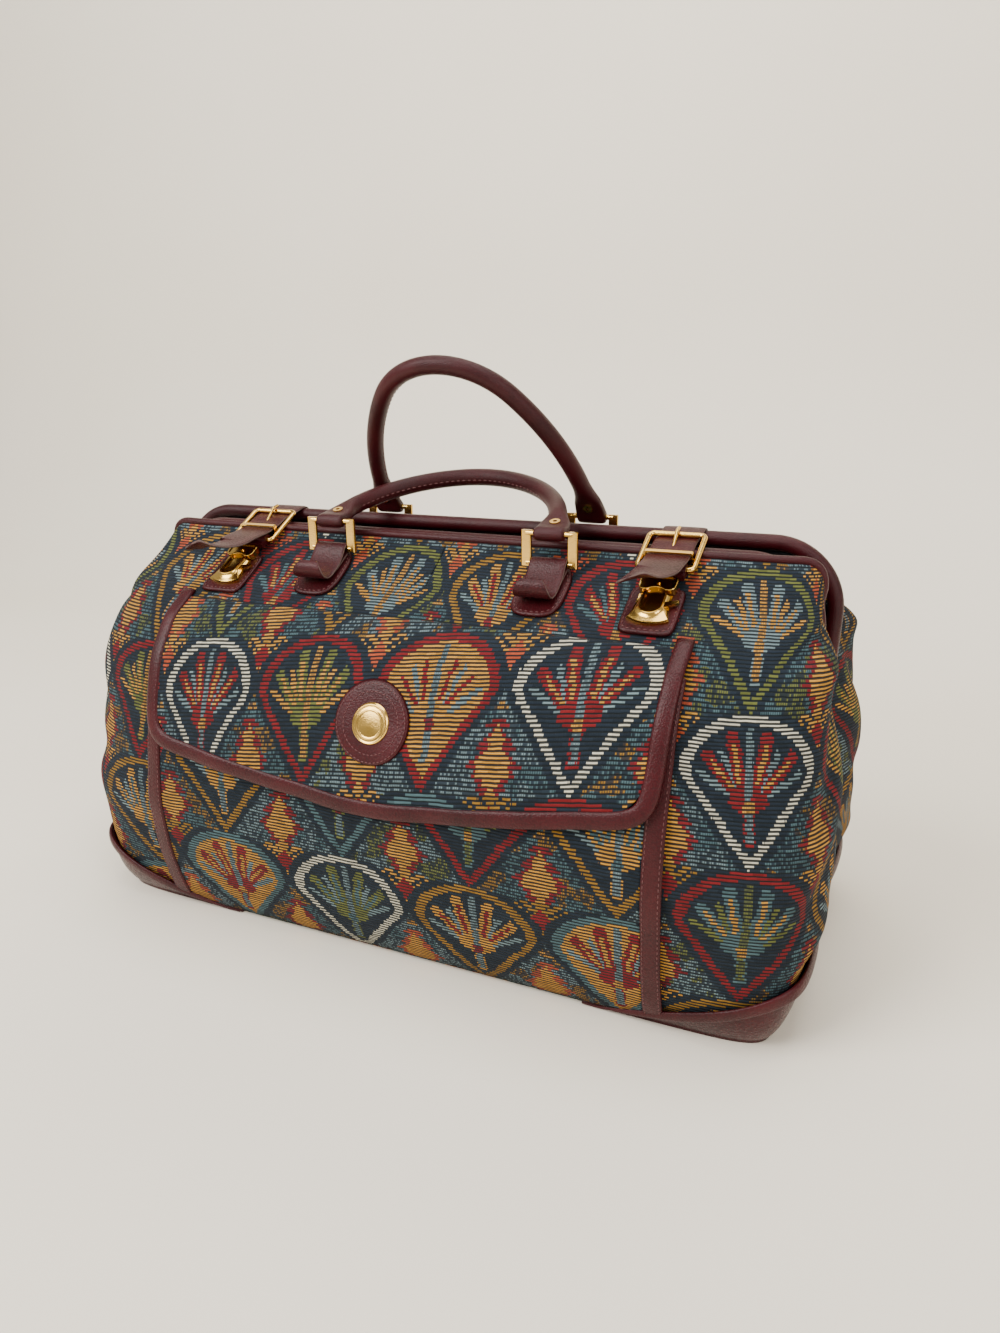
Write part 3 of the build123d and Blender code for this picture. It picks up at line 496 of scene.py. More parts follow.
def bent_grid(name, columns, rows, shape, weave=None, merge=0.0, paint=None):
    """A flat grid bent to shape(s, r), with s and r from 0 to 1, and its weave in repeats."""
    flat = bmesh.new()
    bmesh.ops.create_grid(flat, x_segments=columns, y_segments=rows, size=0.5)
    made = bpy.data.meshes.new(name)
    flat.to_mesh(made)
    flat.free()
    spots = np.zeros(len(made.vertices) * 3)
    made.vertices.foreach_get("co", spots)
    s, r, _ = spots.reshape(-1, 3).T + 0.5
    if paint:
        centres = np.zeros(len(made.polygons) * 3)
        made.polygons.foreach_get("center", centres)
        painted = paint(centres.reshape(-1, 3)[:, 1] + 0.5)
        made.polygons.foreach_set("material_index", painted.astype(np.int32))
    points = np.ascontiguousarray(shape(s, r), dtype=np.float32)
    made.vertices.foreach_set("co", points.ravel())
    if weave:
        corners = np.zeros(len(made.loops), dtype=np.int32)
        made.loops.foreach_get("vertex_index", corners)
        layer = made.uv_layers.new(name="weave")
        repeats = np.stack(weave(s, r), -1)[corners]
        layer.data.foreach_set("uv", repeats.astype(np.float32).ravel())
    made.polygons.foreach_set("use_smooth", np.ones(len(made.polygons), dtype=bool))
    if merge:
        closed = bmesh.new()
        closed.from_mesh(made)
        bmesh.ops.remove_doubles(closed, verts=closed.verts, dist=merge)
        bmesh.ops.holes_fill(closed, edges=[side for side in closed.edges if side.is_boundary])
        bmesh.ops.recalc_face_normals(closed, faces=closed.faces)
        closed.to_mesh(made)
        closed.free()
    made.update()
    return made


# Share of a half's rows that lie under the base and the weave's run along them, and the heights
# between which the slits for the frames open
BASE_SHARE, BASE_RUN = 0.10, 1.1
SLIT_FOOT, SLIT_FULL = 0.146, 0.156
FRONT_SLIT, BACK_SLIT = 0.0162, 0.0195
# Between the boots the cloth sinks to this floor, up to this reach, easing out by this end and height
LOW_FLOOR, LOW_REACH, LOW_END, LOW_HEIGHT = 0.0004, 0.141, 0.150, 0.05
# Shift of the pattern, and the share by which the cloth is stretched over the shoulder
PATTERN_RIGHT, PATTERN_UP, STRETCH, STRETCH_FROM = 0.027, 0.038, 0.21, 0.218


def half_body(front, slit):
    """The front or the back half: bottom rows first, then the wall up to the mouth."""
    way = 1 if front else -1

    def wall_of(s, r):
        z = BODY_FLOOR + BODY_HEIGHT * np.clip((r - BASE_SHARE) / (1 - BASE_SHARE), 0, 1)
        open_edge = np.arctan2(slit * smooth(SLIT_FOOT, SLIT_FULL, z), body_sizes(z)[1])
        begin = np.interp(open_edge, turns, run_round)
        return z, np.interp(begin * (1 - 2 * s), run_round, turns)

    def shape(s, r):
        z, turn = wall_of(s, r)
        points = body_wall(turn, z)
        bottom = r < BASE_SHARE
        points[bottom, :2] *= r[bottom, None] / BASE_SHARE
        sunk = smooth(LOW_END, LOW_REACH, np.abs(points[:, 0])) * smooth(LOW_HEIGHT, 0.0, z - BODY_FLOOR)
        points[:, 2] -= (BODY_FLOOR - LOW_FLOOR) * sunk * smooth(0.3 * BASE_SHARE, 0.8 * BASE_SHARE, r)
        points[:, 1] *= way
        return points

    def weave(s, r):
        z, turn = wall_of(s, r)
        rise = np.interp(z, climb, run_up) - np.maximum(BASE_SHARE - r, 0) * BASE_RUN
        rise -= STRETCH * np.maximum(rise - STRETCH_FROM, 0)
        right = PATTERN_RIGHT - np.interp(turn, turns, run_round)
        return right / REPEAT - 1, (rise - PATTERN_UP) / REPEAT

    made = bent_grid("front_cloth" if front else "back_cloth", 300, 110, shape, weave)
    if front:
        made.flip_normals()
    return made


def cloth_piece(name, mesh, thickness, replaced):
    """A piece of tapestry with its lining behind it."""
    made = new_piece(name, mesh, tapestry, lining)
    backed = made.modifiers.new("lining", "SOLIDIFY")
    backed.thickness = thickness
    backed.offset = -1
    backed.material_offset = 1
    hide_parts(replaced)
    return made


BODY_CUT, BODY_THICK = (0.79, 0.46), 0.002
front_half = half_body(True, FRONT_SLIT)
front_cloth = cloth_piece(
    "front_cloth", front_half, BODY_THICK, "front_panel"
)
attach(front_cloth, "bag")
back_half = half_body(False, BACK_SLIT)
back_cloth = cloth_piece(
    "back_cloth", back_half, BODY_THICK, "back_panel"
)
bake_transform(back_cloth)


# Leather: oxblood hide with a fine pebbled grain, with painted shade in its hollows and lighter pebble tops,
# used for every strap, binding, patch and boot. Its thread is a shade lighter, and its cut edges are raw
# and paler.
def new_leather(name, grain, dark, light, shine):
    made, place = new_material(name, Specular_IOR_Level=0.24)
    sockets = {"Vector": place, "Scale": grain, "Smoothness": 0.6}
    pebbles = place.node("ShaderNodeTexVoronoi", {"feature": "SMOOTH_F1"}, sockets)
    # Random tone plus painted shade: darker in the hollows between the pebbles, lighter on their tops
    tone_and_hollow_shade = place.noise(34.0, 5.0) * 0.75 + (1 - pebbles) * 0.4
    colour = (tone_and_hollow_shade * 1.6 - 0.55).mix(dark, light)
    height = (1 - pebbles) + place.noise(grain * 2.3) * 0.35
    return finish_material(made, colour, shine + pebbles * 0.22, height, 0.0004, 0.55)


leather = new_leather("oxblood_leather", 820.0, (0.021, 0.0014, 0.0026), (0.064, 0.0046, 0.0080), 0.30)
smooth_leather = new_leather(
    "handle_leather", 1500.0, (0.019, 0.0013, 0.0025), (0.060, 0.0040, 0.0073), 0.27
)
raw_edge, place = new_material("cut_edge", Roughness=0.7)
fibres = place.noise(700.0, 3.0)
finish_material(raw_edge, fibres.mix((0.045, 0.022, 0.019), (0.13, 0.080, 0.068)), None, fibres, 0.0004)
thread, place = new_material("waxed_thread", Roughness=0.5)
twist = place.noise(1800.0)
finish_material(thread, twist.mix((0.050, 0.010, 0.012), (0.130, 0.034, 0.036)), None, twist, 0.0002)


def unit(vectors):
    return vectors / np.maximum(np.linalg.norm(vectors, axis=-1, keepdims=True), 1e-12)


def squared(turn, power):
    """Cosine and sine of a turn, drawn out from a circle towards a square by the power."""
    c, n = np.cos(turn), np.sin(turn)
    return np.sign(c) * np.abs(c) ** (2 / power), np.sign(n) * np.abs(n) ** (2 / power)


def band(name, path, upward, half_width, half_thick, material, corner=3.0, around=20, cut=False):
    """A strip of leather along a path, with its face turned to upward and both ends closed."""
    path = np.concatenate([path[:1], path, path[-1:]])
    upward = np.concatenate([upward[:1], upward, upward[-1:]])
    wide = np.concatenate([[0], np.broadcast_to(half_width, len(path) - 2), [0]])
    thick = np.concatenate([[0], np.broadcast_to(half_thick, len(path) - 2), [0]])
    corner = np.pad(np.broadcast_to(corner, len(path) - 2), 1, mode="edge")
    along = unit(np.gradient(path, axis=0))
    along[0], along[-1] = along[1], along[-2]
    aside = unit(np.cross(along, upward))
    face = np.cross(aside, along)

    def shape(s, r):
        k = np.rint(s * (len(path) - 1)).astype(int)
        c, n = squared(2 * np.pi * r, corner[k])
        return path[k] + aside[k] * (c * wide[k])[:, None] + face[k] * (n * thick[k])[:, None]

    def cut_sides(r):
        return np.abs(np.cos(2 * np.pi * r)) > (0.95 if cut else 1)

    mesh = bent_grid(name, len(path) - 1, around, shape, None, 1e-7, cut_sides)
    return new_piece(name, mesh, material, raw_edge)


def run_along(path):
    """The length of a path up to each of its points."""
    return np.concatenate([[0], np.linalg.norm(np.diff(path, axis=0), axis=1).cumsum()])


def resampled(path, run, spots):
    return np.stack([np.interp(spots, run, values) for values in path.T], -1)


def rounded(points, reach, step=0.0025, fine=0.0005):
    """A path through points, with its corners rounded over reach and even steps."""
    points = np.asarray(points, float)
    run = run_along(points)
    dense = resampled(points, run, np.linspace(0, run[-1], max(int(run[-1] / fine), 8)))
    span = max(int(reach / fine), 1)
    for _ in range(2):
        before = 2 * dense[:1] - dense[span:0:-1]
        after = 2 * dense[-1:] - dense[-2 : -span - 2 : -1]
        padded = np.concatenate([before, dense, after])
        sums = np.concatenate([np.zeros((1, dense.shape[1])), padded.cumsum(0)])
        dense = (sums[2 * span + 1 :] - sums[: -2 * span - 1]) / (2 * span + 1)
    run = run_along(dense)
    return resampled(dense, run, np.linspace(0, run[-1], max(int(run[-1] / step), 8)))


def stitches(name, path, upward, body, pitch=0.0036, long=0.0013, thick=0.00042):
    """A row of short raised stitches along a path."""
    even = rounded(path, 0.0005, pitch)
    shares = np.linspace(0, 1, len(upward))
    faces = unit(resampled(upward, shares, np.linspace(0, 1, len(even))))
    along = unit(np.gradient(even, axis=0))
    row = bmesh.new()
    for spot, way, face in zip(even, along, faces):
        aside = np.cross(face, way)
        turn = Matrix((way * long, aside * thick, face * thick)).transposed().to_4x4()
        turn.translation = Vector(spot)
        bmesh.ops.create_uvsphere(row, u_segments=6, v_segments=4, radius=1, matrix=turn)
    made = bpy.data.meshes.new(name)
    row.to_mesh(made)
    row.free()
    for polygon in made.polygons:
        polygon.use_smooth = True
    piece = new_piece(name, made, thread)
    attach(piece, body)
    return piece


# Pocket: a panel of the same tapestry, sewn to the front along its foot and closed at its sides by
# two flat leather strips that run down to the boots.
POCKET_HALF, POCKET_FOOT, POCKET_TOP, POCKET_OUT = 0.184, 0.0045, 0.226, 0.0030
POCKET_REPEAT, POCKET_RIGHT, POCKET_UP = 0.098, 0.125, 0.004
SIDES = (("left", -1), ("right", 1))


def pocket_grid(s, r):
    return POCKET_HALF * (2 * s - 1), POCKET_FOOT + (POCKET_TOP - POCKET_FOOT) * r


def pocket_shape(s, r):
    return body_front(*pocket_grid(s, r), POCKET_OUT)


def pocket_weave(s, r):
    x, z = pocket_grid(s, r)
    return (x + POCKET_RIGHT) / POCKET_REPEAT, (np.interp(z, climb, run_up) + POCKET_UP) / REPEAT + 3


pocket_mesh = bent_grid("pocket_cloth", 130, 80, pocket_shape, pocket_weave)
pocket_cloth = cloth_piece(
    "pocket_cloth", pocket_mesh, 0.0022, "pocket_panel"
)
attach(pocket_cloth, "bag")


def front_normal(x, z, out):
    """The way the body's front faces at x and z."""
    near = 0.002
    right = body_front(x + near, z, out) - body_front(x - near, z, out)
    up = body_front(x, z + near, out) - body_front(x, z - near, out)
    return unit(np.cross(right, up))


BOOT_START, BOOT_RUN, BOOT_HEIGHT = 0.142, 0.145, 0.055


def boot_edge(x):
    """The height of a boot's upper edge, which climbs from its start to the ends of the bag."""
    share = np.clip((np.abs(x) - BOOT_START) / BOOT_RUN, 0, 1)
    return BOOT_HEIGHT * (0.42 * share + 0.58 * share**2)


STRIP_PLACE, STRIP_TOP, STRIP_HALF, STRIP_THICK, STRIP_STEPS = 0.1895, 0.228, 0.0065, 0.0016, 90
STRIP_SEAM, STRIP_SEAM_OUT = 0.0048, 0.0044
for side, way in SIDES:
    strip_z = np.linspace(boot_edge(np.array(STRIP_PLACE)) + 0.001, STRIP_TOP, STRIP_STEPS)
    strip_x = np.full(STRIP_STEPS, way * STRIP_PLACE)
    strip_path = body_front(strip_x, strip_z, POCKET_OUT)
    strip_face = front_normal(strip_x, strip_z, POCKET_OUT)
    strip = band(f"pocket_strip_{side}_hide", strip_path, strip_face, STRIP_HALF, STRIP_THICK, leather)
    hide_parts(f"pocket_strip_{side}")
    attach(strip, "bag")
    for aside in (-STRIP_SEAM, STRIP_SEAM):
        seam = body_front(strip_x + aside, strip_z, STRIP_SEAM_OUT)
        stitches(f"strip_stitch_{side}_{'in' if aside * way < 0 else 'out'}", seam, strip_face, "bag")


# Flap: tapestry cut a little askew, sewn on above the pocket and hanging over it, with a folded
# leather binding round its sides and along its lower edge, a shallow V with wide corners.
FLAP_HALF, FLAP_FOOT, FLAP_TOP = 0.195, 0.191, 0.242
FLAP_TIP, TIP_PLACE, TIP_ROUND, FLAP_SLOPE = 0.1225, -0.010, 0.035, 0.150
FLAP_CORNER, CORNER_RUN, CORNER_RISE = 0.040, 0.034, 0.030
# How far the cloth's edges lie inside the binding, at the sides, at their top and below
SIDE_TUCK, TOP_FLARE, EDGE_TUCK = 0.006, 0.004, 0.005
# How far the flap stands off the body where it is sewn, what it gains below and along its edge,
# and the heights over which it gains them
FLAP_OUT, FLAP_GAIN, FLAP_HANG = 0.0035, 0.0045, 0.0022
GAIN_HEIGHT, HANG_HEIGHT = 0.012, 0.07
# The pattern's repeat at its first column, its growth to the right, and the place of that column
FLAP_REPEAT, FLAP_GROWTH, FLAP_COLUMN, FLAP_BEFORE = 0.0746, 0.0031, -0.137, 0.1
FLAP_RISE, FLAP_UP, FLAP_TILT = 0.105, 0.249, 0.13


def flap_lower(x):
    return FLAP_TIP + FLAP_SLOPE * (np.hypot(x - TIP_PLACE, TIP_ROUND) - TIP_ROUND)


def flap_out(x, z):
    """How far the flap stands off the body: least at its sewn top, most along its lower edge."""
    hang = smooth(HANG_HEIGHT, 0.0, z - flap_lower(x))
    return FLAP_OUT + FLAP_GAIN * smooth(FLAP_TOP, FLAP_TOP - GAIN_HEIGHT, z) + FLAP_HANG * hang


def flap_grid(s, r):
    x = (2 * s - 1) * (FLAP_FOOT - SIDE_TUCK + TOP_FLARE * r)
    corner = np.clip((np.abs(x) - (FLAP_FOOT - FLAP_CORNER)) / CORNER_RUN, 0, 0.999)
    low = flap_lower(x) + EDGE_TUCK + CORNER_RISE * (1 - np.sqrt(1 - corner**2))
    return x, low + (FLAP_TOP - low) * r


def flap_shape(s, r):
    x, z = flap_grid(s, r)
    return body_front(x, z, flap_out(x, z))


def flap_repeats(run):
    """Repeats of the pattern over a run to the right, each a little wider than the one before."""
    root = np.sqrt(FLAP_REPEAT**2 + 4 * FLAP_GROWTH * run)
    return (root - FLAP_REPEAT) / (2 * FLAP_GROWTH)


def flap_weave(s, r):
    x, z = flap_grid(s, r)
    across = flap_repeats(x - FLAP_COLUMN + FLAP_BEFORE) - flap_repeats(FLAP_BEFORE)
    return 2 + across, (np.interp(z, climb, run_up) - FLAP_UP - FLAP_TILT * x) / FLAP_RISE + 2


flap_mesh = bent_grid("flap_cloth", 120, 60, flap_shape, flap_weave)
flap_cloth = cloth_piece(
    "flap_cloth", flap_mesh, 0.0024, "pocket_flap"
)
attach(flap_cloth, "bag")

BINDING_TOP, EDGE_ROUND = FLAP_TOP + 0.003, 0.018
BINDING_INSET, BINDING_LIFT, BINDING_HALF, BINDING_THICK = 0.0052, -0.0008, 0.0056, 0.0024
# Inset and lift of the two rows of stitches
BINDING_SEAMS = ((0.0022, 0.0009), (0.0086, 0.0010))
bow = np.linspace(-FLAP_FOOT, FLAP_FOOT, 80)
edge_points = [(-FLAP_HALF, BINDING_TOP), *zip(bow, flap_lower(bow)), (FLAP_HALF, BINDING_TOP)]
flap_edge = rounded(edge_points, EDGE_ROUND)
inward = np.gradient(flap_edge, axis=0)
inward = unit(np.stack([-inward[:, 1], inward[:, 0]], -1))


def on_flap(inset, lift):
    """The line at an inset from the flap's edge, and the way the flap faces along it."""
    x, z = (flap_edge + inward * inset).T
    return body_front(x, z, flap_out(x, z) + lift), front_normal(x, z, 0.008)


binding_path, binding_face = on_flap(BINDING_INSET, BINDING_LIFT)
binding = band("flap_binding_hide", binding_path, binding_face, BINDING_HALF, BINDING_THICK, leather, 2.6)
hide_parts("flap_binding")
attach(binding, "bag")
for seam_inset, seam_lift in BINDING_SEAMS:
    stitches(f"binding_stitch_{int(seam_inset * 10000)}", *on_flap(seam_inset, seam_lift), "bag")


# Badge: a bare domed brass disc with a raised rim, riveted through a round leather patch that two
# rings of stitches hold to the flap.
BADGE_PLACE, BADGE_SQUASH, BADGE_RADIUS, PATCH_RADIUS = 0.184, 0.97, 0.0136, 0.0275
# Lifts off the flap of the patch's edge, its face, its stitches and the disc's edge
PATCH_EDGE, PATCH_FACE, PATCH_SEAM_LIFT, BADGE_EDGE = 0.0006, 0.0017, 0.0023, 0.0012
BADGE_WALL, BADGE_DOME, BADGE_RIM, BADGE_RING = 0.0016, 0.0012, 0.0007, 0.0004
PATCH_SEAMS, PATCH_PITCH = (0.0250, 0.0200), 0.0030


def patch_point(angle, reach, lift):
    x, z = reach * np.cos(angle), BADGE_PLACE + reach * np.sin(angle) * BADGE_SQUASH
    return body_front(x, z, flap_out(x, z) + lift)


def round_over(r, start):
    """A round shoulder that falls from 1 at start to 0 at the rim."""
    return np.sqrt(np.clip(1 - np.clip((r - start) / (1 - start), 0, 1) ** 2, 0, 1))


def patch_shape(s, r):
    lift = PATCH_EDGE + PATCH_FACE * round_over(r, 0.90)
    return patch_point(2 * np.pi * s, PATCH_RADIUS * r, lift)


def badge_shape(s, r):
    rim = BADGE_RIM * np.exp(-(((r - 0.90) / 0.045) ** 2))
    ring = BADGE_RING * np.exp(-(((r - 0.66) / 0.03) ** 2))
    dome = BADGE_WALL + BADGE_DOME * (1 - r**2) + rim + ring
    return patch_point(2 * np.pi * s, BADGE_RADIUS * r, BADGE_EDGE + dome * round_over(r, 0.94))


patch_mesh = bent_grid("badge_patch_hide", 72, 24, patch_shape, None, 1e-6)
badge_patch = new_piece("badge_patch_hide", patch_mesh, leather)
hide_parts("badge_patch")
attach(badge_patch, "bag")
ring_turn = np.linspace(0, 2 * np.pi, 120)
ring_face = np.tile((0, -0.95, 0.3), (len(ring_turn), 1))
for reach in PATCH_SEAMS:
    ring_line = patch_point(ring_turn, reach, PATCH_SEAM_LIFT)
    stitches(f"patch_stitch_{int(reach * 1e4)}", ring_line, ring_face, "bag", PATCH_PITCH)

brass, place = new_material("polished_brass", Metallic=1.0)
haze = place.noise(90.0, 4.0)
scuffs = place.noise(1300.0, 1.0)
finish_material(brass, haze.mix((0.70, 0.41, 0.08), (0.89, 0.59, 0.17)), haze * 0.16 + 0.10, scuffs, 0.00004)
badge_mesh = bent_grid("badge_disc", 96, 48, badge_shape, None, 1e-6)
badge_disc = new_piece("badge_disc", badge_mesh, brass)
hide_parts("badge")
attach(badge_disc, "bag")


# Boots: pebbled leather drawn up over the lower ends of the bag and under its base, with a rolled
# welt sewn along the upper edge.
BOOT_OUT, BOOT_TUCK, BOOT_THICK, BOOT_LEAST = 0.0029, 0.0012, 0.0018, 0.0028
# Reach from the middle to a boot's inner end, and the share of its rows that lie under the base
BOOT_INNER, SOLE_SHARE, SOLE_FLOOR = np.array((0.143, 0)), 0.2, 0.0001
# Heights at which a boot's inner end and its upper edge are found on the body
INNER_LEVEL, RIM_LEVEL = 0.02, 0.03
WELT_OUT, WELT_HALF, WELT_THICK, WELT_STEPS = 0.0036, 0.0042, 0.0017, 240
boot_leather = new_leather("boot_leather", 460.0, (0.019, 0.0013, 0.0026), (0.060, 0.0043, 0.0080), 0.20)
low_wall = body_wall(turns, np.full(LOOP_STEPS, INNER_LEVEL))[:, 0]
boot_turn = turns[np.argmin(np.abs(low_wall - BOOT_INNER[0]))]


def boot_top(turn):
    spots = body_wall(turn, np.full(len(turn), RIM_LEVEL), BOOT_LEAST)
    return np.maximum(boot_edge(spots[:, 0]), BOOT_LEAST)


def boot_shape(s, r):
    """The right boot: a fan under the base first, then the wall up to its edge."""
    turn = boot_turn * (2 * s - 1)
    z = np.maximum(boot_top(turn) * np.clip((r - SOLE_SHARE) / (1 - SOLE_SHARE), 0, 1), SOLE_FLOOR)
    out = BOOT_OUT - BOOT_TUCK * smooth(0.006, 0, z)
    points = body_wall(turn, np.maximum(z, BODY_FLOOR), out)
    points[:, 2] = z
    fan = np.minimum(r / SOLE_SHARE, 1)[:, None]
    points[:, :2] = BOOT_INNER + (points[:, :2] - BOOT_INNER) * fan
    return points


def mirrored_boot(s, r):
    return boot_shape(s, r) * (-1, 1, 1)


for side, way in SIDES:
    boot_mesh = bent_grid(f"boot_{side}_hide", 160, 34, boot_shape if way > 0 else mirrored_boot)
    if way > 0:
        boot_mesh.flip_normals()
    boot = new_piece(f"boot_{side}_hide", boot_mesh, boot_leather)
    hide = boot.modifiers.new("hide", "SOLIDIFY")
    hide.thickness = BOOT_THICK
    hide.offset = -1
    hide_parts(f"boot_{side}")
    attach(boot, "bag")
    turn = np.linspace(-boot_turn, boot_turn, WELT_STEPS)
    top = boot_top(turn)
    boot_rim = body_wall(turn, np.maximum(top, BODY_FLOOR), WELT_OUT) * (way, 1, 1)
    boot_rim[:, 2] = top
    outward = unit(boot_rim * (0.6, 1, 0) + (0, 0, 0.02))
    ease = 0.12 + 0.88 * smooth(0, 0.22, np.minimum(turn + boot_turn, boot_turn - turn))
    welt_path = boot_rim.copy()
    welt_path[:, 2] = np.maximum(top - 0.001, WELT_HALF * ease + 0.0002)
    welt_name = f"boot_welt_{side}"
    welt = band(welt_name, welt_path, outward, WELT_HALF * ease, WELT_THICK * ease, leather, 2.4)
    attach(welt, "bag")
    sewn = ease > 0.9
    seam = boot_rim + outward * 0.0013 - (0, 0, 0.002)
    stitches(f"welt_stitch_{side}", seam[sewn], outward[sewn], "bag")


# Mouth frames: steel bars in sewn leather sleeves, turning on a brass rivet at each end. A leather
# piping is sewn along the edge of the front cloth, from hinge to hinge.
PIPING_FOOT, PIPING_HALF, PIPING_THICK = 0.163, 0.0028, 0.0026
MOUTH_LEVEL = BODY_FLOOR + BODY_HEIGHT
side_level = np.linspace(PIPING_FOOT, MOUTH_LEVEL, 60)
side_turn = np.arctan2(FRONT_SLIT, body_sizes(side_level)[1])
over_turn = np.linspace(side_turn[-1], math.pi - side_turn[-1], 200)
edge_right = body_wall(side_turn, side_level)
edge_top = body_wall(over_turn, np.full(len(over_turn), MOUTH_LEVEL))
edge_left = (edge_right * (-1, 1, 1))[::-1]
piping_path = rounded(np.concatenate([edge_right, edge_top, edge_left]), 0.003)
piping_face = unit(piping_path * (1, 0, 0.25) + (0, -0.05, 0))
piping = band("mouth_piping", piping_path, piping_face, PIPING_HALF, PIPING_THICK, smooth_leather, 2.0)
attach(piping, "bag")

board, place = new_material("base_board", Roughness=0.8)
pulp = place.noise(160.0)
finish_material(board, pulp.mix((0.16, 0.12, 0.08), (0.24, 0.19, 0.13)), None, pulp, 0.0003)
for name, node in nodes.items():
    if node.hide_render:
        continue
    if "sleeve" in name:
        finish = smooth_leather
    elif "billet" in name:
        finish = leather
    elif name == "base_board":
        finish = board
    else:
        finish = brass
    node.data.materials.clear()
    node.data.materials.append(finish)
    node.data.polygons.foreach_set("material_index", np.zeros(len(node.data.polygons), dtype=np.int32))


# Chapes: short straps folded round the foot of each ring and sewn down through a shield-shaped
# patch on the shoulder, with their narrow ends curling up off it.
PATCH_LIFT, PATCH_DROP, PATCH_STEPS = 0.0026, 0.0016, 140
depth_up = body_sizes(climb)[1]
shoulder = climb > 0.17


def shoulder_level(y):
    """The height of the body's shoulder at a distance y from its middle."""
    return np.interp(-np.abs(y), -depth_up[shoulder], climb[shoulder])


def shoulder_patch(name, node, x, y, wide, long, drop, corner, behind=1):
    """A flat leather patch sewn on the shoulder, front or behind."""
    slope = (shoulder_level(y - 0.004) - shoulder_level(y + 0.004)) / 0.008
    run, rise = 1 / math.hypot(1, slope), slope / math.hypot(1, slope)

    def shape(s, r):
        c, n = squared(2 * np.pi * s, corner)
        off = y + run * (drop + long * n * r)
        raised = PATCH_LIFT - PATCH_DROP * (1 - round_over(r, 0.92))
        level = shoulder_level(off) + raised * run
        return np.stack([x + wide * c * r, behind * -(off + raised * rise), level], -1)

    made = new_piece(name, bent_grid(name, 64, 18, shape, None, 1e-6), leather)
    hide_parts(node)
    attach(made, "bag")
    face = np.array((0, -behind * rise, run))
    seam = shape(np.linspace(0, 1, PATCH_STEPS), np.full(PATCH_STEPS, 0.86)) + face * 0.0001
    stitches(f"{name}_stitch", seam, np.tile(face, (PATCH_STEPS, 1)), "bag")
    return made


RING_PLACE = 0.086
CHAPE_SEAT, CHAPE_LEVEL, CHAPE_SLOPE = 0.0385, 0.27147, math.radians(34.2)
CHAPE_HALF, CHAPE_THICK, CHAPE_TIP = 0.0132, 0.0011, 14
# Half width, half length, drop below the seat and corner power of a shield
SHIELD = (0.018, 0.0255, 0.021, 3.2)
# The fold from its under end, round the ring and down to the curl, in mm down the slope and off it
CHAPE_FOLD = (
    (18, 3.6), (6, 3.8), (0, 4.0), (-3.4, 5.4), (-3.6, 7.6), (-1.4, 10.2), (2.5, 9.8), (8, 7.4),
    (14, 5.9), (20, 5.6), (27, 6.2), (32, 8.4), (34.6, 12.2), (34.2, 16.6), (31.4, 19.8), (27.8, 20.2),
)
downhill = np.array((0, -math.cos(CHAPE_SLOPE), -math.sin(CHAPE_SLOPE)))
uphill_face = np.array((0, -math.sin(CHAPE_SLOPE), math.cos(CHAPE_SLOPE)))
fold = rounded(CHAPE_FOLD, 1.6, 0.9) * 0.001
fold_way = np.gradient(fold, axis=0)
fold_face = unit(fold_way[:, :1] * uphill_face - fold_way[:, 1:] * downhill)
fold_step = np.arange(len(fold))
tip_share = np.clip((fold_step - (len(fold) - 1 - CHAPE_TIP)) / CHAPE_TIP, 0, 1)
chape_wide = CHAPE_HALF * (1 - 0.45 * tip_share**2) - 0.0012 * np.clip(1 - fold_step / 20, 0, 1)
for end, behind in (("front", 1), ("back", -1)):
    mirror = np.array((1, behind, 1))
    for side, way in SIDES:
        shield, covered = f"{end}_shield_{side}", f"{end}_chape_patch_{side}"
        ring_x = way * RING_PLACE
        shoulder_patch(shield, covered, ring_x, CHAPE_SEAT, *SHIELD, behind)
        seat = np.array((ring_x, -CHAPE_SEAT, CHAPE_LEVEL))
        chape_path = seat + fold[:, :1] * downhill + fold[:, 1:] * uphill_face
        chape = band(
            f"{end}_chape_{side}_hide", chape_path * mirror, fold_face * mirror,
            chape_wide, CHAPE_THICK, leather, 4.0, cut=True,
        )
        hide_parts(f"{end}_chape_{side}")
        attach(chape, "bag")


# Handles: leather rolled round a cord and sewn underneath, flattened into cuffs that fold round the
# upper bar of each ring and close with a brass eyelet.
RING_REACH, HANDLE_LEVEL = 0.04232, 0.29710
ROLLED_FROM = 0.036
# Distance from a handle's end, half width and half thickness in mm, and the power of its corners
CUFF = np.array(
    [
        (0.0, 9.6, 1.2, 4.5),
        (1.2, 10.6, 3.4, 4.5),
        (3.0, 11.0, 4.8, 4.5),
        (5.2, 11.0, 5.2, 4.5),
        (9.0, 11.0, 4.3, 4.5),
        (13.0, 10.8, 3.5, 4.5),
        (20.0, 9.9, 3.9, 3.6),
        (27.0, 7.6, 5.4, 2.5),
        (34.0, 6.4, 6.4, 2.0),
    ]
)
cuff_run, cuff_wide, cuff_thick = CUFF[:, :3].T * 0.001


def handle_line(half, rise, crown):
    """The middle line of a handle, up one side, over its crown and down the other."""
    bend = (half**2 + (rise - crown) ** 2 - crown**2) / (2 * (half - crown))
    centre = half - bend
    knee = math.atan2(rise - crown, -centre)
    turn = np.linspace(0, knee, 40)
    flank = np.stack([centre + bend * np.cos(turn), bend * np.sin(turn)], -1)
    over = np.linspace(knee, math.pi - knee, 60)[1:-1]
    top = np.stack([crown * np.cos(over), rise - crown + crown * np.sin(over)], -1)
    foot = np.array([(half, -0.0052), (half, -0.0046), (half, -0.0030)])
    right = np.concatenate([foot, flank])
    return np.concatenate([right, top, (right * (-1, 1))[::-1]])


